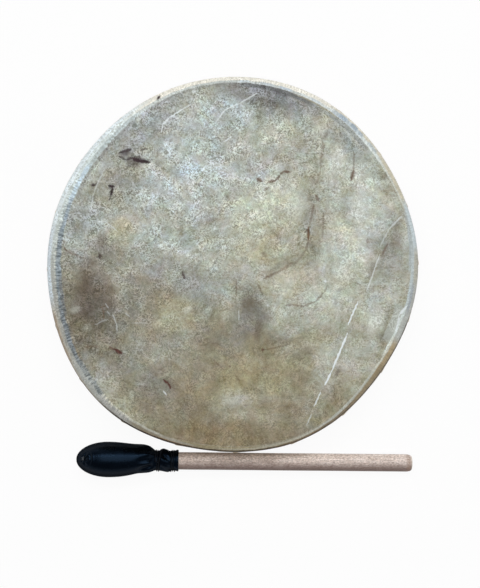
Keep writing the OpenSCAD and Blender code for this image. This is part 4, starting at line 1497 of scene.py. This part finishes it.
def make_dowel_material():
    tones = [(246, 233, 225), (216, 198, 187), (160, 132, 120)]
    material, tree, surface, place, shade = make_wood_material("beater_beech", None, tones, 0.9, 0.6, 0.5)
    x, y, _ = node(tree, "ShaderNodeSeparateXYZ", {0: place}).outputs
    speckle = noise_at(tree, vectors(tree, "MULTIPLY", place, (0.6, 1, 1)), 1.3 * MM, 2.0, 0.7)
    shade = vary(tree, shade, speckle, 1.9, (0.95, 1.0, 1.05))
    # Painted shade: the stick turns darker towards its underside, the side away from the lamps, with a
    # noisy edge
    shaded_underside = maths(tree, "MULTIPLY_ADD", noise_at(tree, place, 7 * MM, 3.0), 5 * MM, y)
    shaded_underside = spread(tree, shaded_underside, -5 * MM, 8.4 * MM, 1.0, 0.0)
    shade = stain(tree, shade, (112, 90, 82), shaded_underside, 0.88)
    end = spread(tree, x, beater_len - 1.2 * MM, beater_len - 0.2 * MM)
    rings = noise_at(tree, vectors(tree, "MULTIPLY", place, (0, 1, 1)), 0.8 * MM, 2.0)
    end_tone = tint(tree, colour(232, 222, 204), colour(196, 174, 146), spread(tree, rings, 0.4, 0.65))
    shade = tint(tree, shade, end_tone, maths(tree, "MULTIPLY", end, 0.85))
    edge = spread(tree, x, beater_len - 8 * MM, beater_len - 5 * MM)
    before_end = spread(tree, x, beater_len - 3 * MM, beater_len - 1.5 * MM, 1.0, 0.0)
    edge = maths(tree, "MULTIPLY", edge, before_end)
    shade = stain(tree, shade, (150, 122, 104), edge, 0.5)
    tree.links.new(shade, surface.inputs["Base Color"])
    return material


def head_r(x, crown, neck):
    """Radius of the padded head: an ellipse to its crown, then a taper to the neck."""
    neck_start = first_tie - 2 * tie_d
    front = crown * np.sqrt(np.clip(1 - ((crown_x - x) / crown_x) ** 2, 0, 1))
    u = np.clip((x - crown_x) / (neck_start - crown_x), 0, 1)
    back = neck + (crown - neck) * (1 - u ** 2)
    return np.where(x < crown_x, front, back)


def head_stations(first, last, count):
    """Places along the head, closer together near its tip."""
    t = np.linspace(0, 1, count) ** 1.5
    return first + (last - first) * t


def make_padding():
    """The wadding inside the leather, with a slightly lumpy skin."""
    start, end = leather_t + 1.4 * MM, 72 * MM
    x = head_stations(start, end, padding_rings)
    neck_room = 2.4 * MM * smooth((x - 48 * MM) / (20 * MM))
    r = head_r(x, crown_r - leather_t - 2.2 * MM, sleeve_r + 0.1 * MM)
    r = np.maximum(r - neck_room, np.where(x > 40 * MM, sleeve_r + 0.1 * MM, 1.5 * MM))
    rings = turned(x, r, padding_columns)
    rings[:, :, 1:] *= 1 + 0.02 * noise_over(rings, 160)[:, :, None]
    bottom = stick_start - beater_gap
    bore = turned([end, bottom, bottom], [sleeve_r, sleeve_r, 1.5 * MM], padding_columns)
    return swept("beater_padding", np.concatenate([rings, bore]))


def make_padding_material():
    material, tree, surface = new_material("cotton_wadding")
    place = place_of(tree)
    fibres = noise_at(tree, place, 0.8 * MM, 6.0, 0.7, 1.5)
    tufts = noise_at(tree, place, 6 * MM, 3.0)
    shade = tint(tree, colour(228, 222, 206), colour(196, 186, 162), spread(tree, tufts, 0.4, 0.7))
    shade = stain(tree, shade, (240, 236, 226), spread(tree, fibres, 0.5, 0.7), 0.5)
    tree.links.new(shade, surface.inputs["Base Color"])
    surface.inputs["Roughness"].default_value = 0.95
    surface.inputs["Specular IOR Level"].default_value = 0.1
    bump(tree, surface, fibres, 0.3 * MM)
    return material


# Leather head: a gathered bag, blown up as cloth and tied at the neck
leather_columns = 72
leather_rings = 88
folds = 9
fold_twist = 14
neck_gathers = 5
head_lean = 0.8 * MM
shoulder_swell = 3.4 * MM
slack_draw = 0.9 * MM
cloth_pinned_x = 80 * MM
cloth_reach = 2.2 * MM
cloth_steps = 20


def gathered_bag():
    """The leather before it is filled: slightly small, with pleats that run into the neck."""
    x = head_stations(0.25 * MM, cover_len, leather_rings)
    r = np.maximum(head_r(x, crown_r * 0.97, neck_r), 0.6 * MM)
    rings = turned(x, r, leather_columns)
    t = angles_round(leather_columns)
    depth = 1.5 * MM * smooth((x - 62 * MM) / (20 * MM))[:, None]
    pleats = np.cos(folds * t[None, :] + fold_twist * x[:, None] / cover_len)
    share = 1 + depth * pleats / r[:, None]
    rings[:, :, 1:] *= share[:, :, None]
    return rings


def fill_bag(rings):
    """Cloth simulation of the bag under the pressure of what fills it."""
    count, columns = rings.shape[:2]
    tip = np.array([[rings[0, :, 0].mean() - 0.1 * MM, 0, 0]])
    points = np.concatenate([rings.reshape(-1, 3), tip])
    faces = grid_faces(count, columns)
    faces += [(len(points) - 1, (j + 1) % columns, j) for j in range(columns)]
    bag = new_piece("bag", points, faces)
    held = bag.vertex_groups.new(name="tied")
    for i, p in enumerate(points):
        weight = float(smooth((p[0] - cloth_pinned_x) / (5 * MM)))
        if weight > 0:
            held.add([i], weight, "REPLACE")
    cloth = bag.modifiers.new("cloth", "CLOTH")
    cloth.settings.quality = 6
    cloth.settings.mass = 0.2
    cloth.settings.tension_stiffness = 30
    cloth.settings.compression_stiffness = 12
    cloth.settings.bending_stiffness = 1.5
    cloth.settings.use_pressure = True
    cloth.settings.uniform_pressure_force = 4
    cloth.settings.vertex_group_mass = "tied"
    cloth.settings.effector_weights.gravity = 0
    cloth.point_cache.frame_start = 1
    cloth.point_cache.frame_end = cloth_steps
    scene = bpy.context.scene
    for step in range(1, cloth_steps + 1):
        scene.frame_set(step)
    depsgraph = bpy.context.evaluated_depsgraph_get()
    filled = np.array([v.co for v in bag.evaluated_get(depsgraph).data.vertices], float)
    scene.frame_set(1)
    bpy.data.objects.remove(bag)
    moved = filled - points
    far = np.linalg.norm(moved, axis=1)[:, None]
    moved *= np.minimum(1, cloth_reach / np.maximum(far, 1e-9))
    return (points + moved)[:-1].reshape(rings.shape)


def neck_folds(x, t):
    """Radius of the leather at the neck: slanted folds between the ties, and a collar."""
    swell = 1
    for tie in (first_tie, second_tie):
        middle, half = tie + tie_w / 2, tie_w / 2 + tie_d
        swell = swell * smooth(np.abs(x - middle) / half - 0.35)
    past = (x - first_tie) / MM
    wrap = neck_gathers * (t - 1.0) - 0.27 * past
    fold = 0.5 + 0.34 * np.cos(wrap) + 0.16 * np.cos(2 * wrap + 1.3) + 0.2 * np.sin(3 * t - 0.5 * past)
    upper = 0.62 + 0.38 * smooth((np.cos(t) + 0.5) / 1.3)
    collar = smooth((x - second_tie - tie_w) / (3 * MM))
    bulge = 0.3 * MM + 2.6 * MM * fold * upper * (1 - 0.6 * collar)
    return neck_r - 0.45 * MM + swell * bulge + 0.5 * MM * collar


def rest_on_floor(rings):
    """Flattens what would sink into the floor where the head lies on it."""
    turn, back = np.array(beater_lay), np.array(beater_lay.inverted())
    flat = rings.reshape(-1, 3)
    world = flat @ turn[:3, :3].T + turn[:3, 3]
    world[:, 2] = np.maximum(world[:, 2], 0.1 * MM)
    return (world @ back[:3, :3].T + back[:3, 3]).reshape(rings.shape)


def make_leather():
    rings = gathered_bag()
    rings = fill_bag(rings)
    x = rings[:, :, 0]
    r = np.hypot(rings[:, :, 1], rings[:, :, 2])
    t = np.arctan2(rings[:, :, 2], rings[:, :, 1])
    tied = smooth((x - 81 * MM) / (5.5 * MM))
    # The leather bulges over the first tie on the side away from the photograph's bottom
    shoulder = shoulder_swell * hump(x, 79 * MM, 13 * MM) * smooth(np.cos(t - 0.35))
    slack = slack_draw * hump(x, 70 * MM, 14 * MM) * smooth(-np.cos(t - 0.2))
    r = (1 - tied) * (r + shoulder - slack) + tied * neck_folds(x, t)
    lean = head_lean * (1 - smooth((x - 60 * MM) / (24 * MM)))
    outer = np.stack([x, r * np.cos(t) + lean, r * np.sin(t)], axis=2)
    inner_r = np.maximum(r - leather_t, np.where(x > 10 * MM, sleeve_r, 0))
    inner_x = np.clip(x + leather_t * smooth((6 * MM - x) / (6 * MM)), None, cover_len - 0.3 * MM)
    inner = np.stack([inner_x, inner_r * np.cos(t) + lean, inner_r * np.sin(t)], axis=2)
    rings = np.concatenate([outer, inner[::-1]])
    piece = swept("leather_head", rest_on_floor(rings), sharp=60)
    finer = piece.modifiers.new("finer", "SUBSURF")
    finer.levels = finer.render_levels = 1
    shape_again(piece, 60)
    pucker(piece)
    return piece


def pucker(piece):
    """Draws the leather in round the tip thread, with an arc of a crease behind it."""
    angle = math.radians(thread_angle)
    knot = Vector((thread_place, thread_stand * math.sin(angle), thread_stand * math.cos(angle)))
    mesh = piece.data
    normals = [v.normal.copy() for v in mesh.vertices]
    for vertex, normal in zip(mesh.vertices, normals):
        away = vertex.co - knot
        gap = away.length / MM
        if gap > 26 or vertex.co.yz.length < 1 * MM and vertex.co.x > 3 * MM:
            continue
        turn = math.atan2(away.y, away.x)
        dimple = -1.1 * hump(gap, 0, 2.6)
        rays = 0.36 * math.cos(8 * turn + 0.6) * hump(gap, 4.5, 3.2)
        arc = 0.3 * hump(gap, 11.4, 1.5) - 0.55 * hump(gap, 9, 1.2)
        arc *= max(0, math.cos(turn - 0.3)) ** 2
        vertex.co += normal * (dimple + rays + arc) * MM


def make_leather_material():
    material, tree, surface = new_material("black_leather")
    place = place_of(tree)
    cell_inputs = {"Vector": place, "Scale": 1 / (1.1 * MM)}
    cells = node(tree, "ShaderNodeTexVoronoi", cell_inputs, feature="DISTANCE_TO_EDGE")
    grain = spread(tree, cells.outputs["Distance"], 0.0, 0.22)
    creases = noise_at(tree, place, 5 * MM, 5.0, 0.6, 1.2)
    cloud = noise_at(tree, place, 14 * MM, 4.0)
    shade = tint(tree, colour(1, 2, 4), colour(4, 8, 15), spread(tree, cloud, 0.4, 0.68))
    shade = stain(tree, shade, (28, 38, 56), spread(tree, creases, 0.62, 0.78), 0.35)
    shade = tint(tree, colour(3, 4, 7), shade, maths(tree, "MULTIPLY_ADD", grain, 0.7, 0.3))
    tree.links.new(shade, surface.inputs["Base Color"])
    # Smooth where it is looked at squarely, dull where it turns away
    away = node(tree, "ShaderNodeLayerWeight").outputs["Facing"]
    dull = maths(tree, "MULTIPLY_ADD", spread(tree, away, 0.2, 0.62), 0.68, 0.2)
    tree.links.new(maths(tree, "MULTIPLY_ADD", cloud, 0.14, dull), surface.inputs["Roughness"])
    height = maths(tree, "MULTIPLY_ADD", creases, 2.5, grain)
    bump(tree, surface, height, 0.025 * MM, 0.6)
    surface.inputs["Specular IOR Level"].default_value = 0.15
    surface.inputs["Specular Tint"].default_value = (0.3, 0.57, 1.0, 1)
    return material


# Ties: two turns in each groove of the neck and a slanted run between them
tie_turns = 2
slant_turns = 0.75
steps_per_turn = 40
settled_steps = 6


def make_tie():
    total = 2 * tie_turns + slant_turns
    turn = np.linspace(0, total, round(total * steps_per_turn) + 1)
    turns_at = [0, tie_turns, tie_turns + slant_turns, total]
    places = [first_tie, first_tie + tie_w, second_tie, second_tie + tie_w]
    x = np.interp(turn, turns_at, places)
    t = 2 * math.pi * turn
    leather = neck_folds(x, math.pi / 2 - t)
    for shift in (-tie_d / 2, tie_d / 2):
        leather = np.maximum(leather, neck_folds(x + shift, math.pi / 2 - t))
    # A taut cord bridges the folds, so its radius is a mean over a short stretch
    stretch = np.ones(2 * settled_steps + 1) / (2 * settled_steps + 1)
    r = np.convolve(np.pad(leather, settled_steps, mode="edge"), stretch, "valid")
    r += tie_d / 2 - 0.1 * MM
    line = np.stack([x, r * np.sin(t), r * np.cos(t)], axis=1)
    ups = line * np.array([0, 1, 1])
    return swept("neck_tie", cord_rings(line, ups, tie_d))


def make_tip_thread():
    """A few turns of thread through the leather, half sunk in its pucker."""
    r = (thread_knot_d - thread_d) / 2
    t = np.linspace(0, thread_turns, thread_turns * 28 + 1)
    a = 2 * math.pi * t
    along = thread_pitch * (t - thread_turns / 2)
    line = np.stack([r * np.cos(a), along, r * np.sin(a)], axis=1)
    slope = (crown_r / crown_x) ** 2 * (crown_x - thread_place) / thread_stand
    put = (
        Matrix.Rotation(math.radians(-thread_angle), 4, "X")
        @ Matrix.Translation((thread_place, 0, thread_stand))
        @ Matrix.Rotation(-math.atan(slope), 4, "Y")
        @ Matrix.Translation((0, 0, thread_knot_d / 2 - 0.5 * MM))
    )
    piece = swept("tip_thread", cord_rings(line, line * np.array([1, 0, 1]), thread_d, lay_mm=1.6))
    piece.data.transform(put)
    return piece


def make_cord_material(name, dark, pale, rough, gloss):
    material, tree, surface = new_material(name)
    place = place_of(tree)
    fibres = noise_at(tree, place, 0.35 * MM, 4.0, 0.6, 1.0)
    shade = tint(tree, colour(*dark), colour(*pale), spread(tree, fibres, 0.45, 0.7))
    tree.links.new(shade, surface.inputs["Base Color"])
    tree.links.new(maths(tree, "MULTIPLY_ADD", fibres, 0.3, rough), surface.inputs["Roughness"])
    bump(tree, surface, fibres, 0.05 * MM)
    surface.inputs["Specular IOR Level"].default_value = gloss
    return material


lay_beater(make_dowel(), "beater_stick", make_dowel_material())
padding = make_padding()
lay_beater(padding, "beater_wadding", make_padding_material())
leather_head = make_leather()
lay_beater(leather_head, "beater_cover", make_leather_material())
dull_cord = make_cord_material("dull_black_cord", (8, 10, 14), (22, 26, 34), 0.5, 0.08)
lay_beater(make_tie(), "beater_tie", dull_cord)
# The grey fibres lighten the black thread as a painted glint, besides the thread's real gloss
thread_with_painted_glint = make_cord_material("waxed_black_thread", (48, 52, 58), (112, 120, 130), 0.15, 0.5)
lay_beater(make_tip_thread(), "beater_tip_thread", thread_with_painted_glint)


# Sweep, world and lights
sweep_r = 5
bend_r = 1
wall_top = 3.2
sweep_drop = 0.3 * MM
sweep_columns = 96
bend_steps = 12


def plainly_seen(tree):
    """1 for what the camera sees, straight or by a reflection or through glass."""
    path = node(tree, "ShaderNodeLightPath").outputs
    seen = maths(tree, "MAXIMUM", path["Is Camera Ray"], path["Is Glossy Ray"])
    return maths(tree, "MAXIMUM", seen, path["Is Transmission Ray"])


def make_sweep():
    """A white floor that curves up into a wall all round."""
    material, tree, surface = new_material("studio_sweep")
    surface.inputs["Base Color"].default_value = (0.9, 0.9, 0.9, 1)
    surface.inputs["Roughness"].default_value = 0.9
    surface.inputs["Specular IOR Level"].default_value = 0
    glow = node(tree, "ShaderNodeEmission", {"Strength": 1.0})
    share = maths(tree, "MULTIPLY", plainly_seen(tree), 0.93)
    mixed = node(tree, "ShaderNodeMixShader", {0: share, 1: surface.outputs[0], 2: glow.outputs[0]})
    tree.links.new(mixed.outputs[0], tree.nodes["Material Output"].inputs["Surface"])
    profile = [(r, 0) for r in (0.5, 1.5, 3)]
    for t in np.linspace(0, math.pi / 2, bend_steps + 1):
        profile.append((sweep_r + bend_r * math.sin(t), bend_r * (1 - math.cos(t))))
    profile.append((sweep_r + bend_r, wall_top))
    points = []
    for r, height in profile:
        for t in angles_round(sweep_columns):
            points.append((r * math.cos(t), r * math.sin(t), height - sweep_drop))
    faces = grid_faces(len(profile), sweep_columns)
    faces.append(tuple(range(sweep_columns)))
    sweep = new_piece("studio_sweep", points, faces)
    wear(sweep, material)


def make_world():
    world = bpy.data.worlds.new("plain_room")
    world.use_nodes = True
    light = world.node_tree.nodes["Background"]
    light.inputs["Color"].default_value = (0.97, 0.98, 0.99, 1)
    light.inputs["Strength"].default_value = 0.3
    bpy.context.scene.world = world


def make_light(name, place, size, power, tone):
    data = bpy.data.lights.new(name, "AREA")
    data.shape = "RECTANGLE"
    data.size, data.size_y = size
    data.energy = power
    data.color = tone
    light = bpy.data.objects.new(name, data)
    light.location = place
    light.rotation_euler = (-Vector(place)).to_track_quat("-Z", "Y").to_euler()
    bpy.context.scene.collection.objects.link(light)


make_sweep()
make_world()
# Name, place, size, watts, colour
make_light("long_window", (-0.15, 1.2, 2.15), (2.2, 0.35), 18, (0.95, 0.97, 0.99))
make_light("ceiling_panel", (0.0, 0.45, 2.5), (2.0, 1.6), 28, (0.985, 0.98, 0.965))
make_light("window_right", (2.0, 0.3, 0.8), (0.5, 1.4), 4, (0.9, 0.96, 1.0))
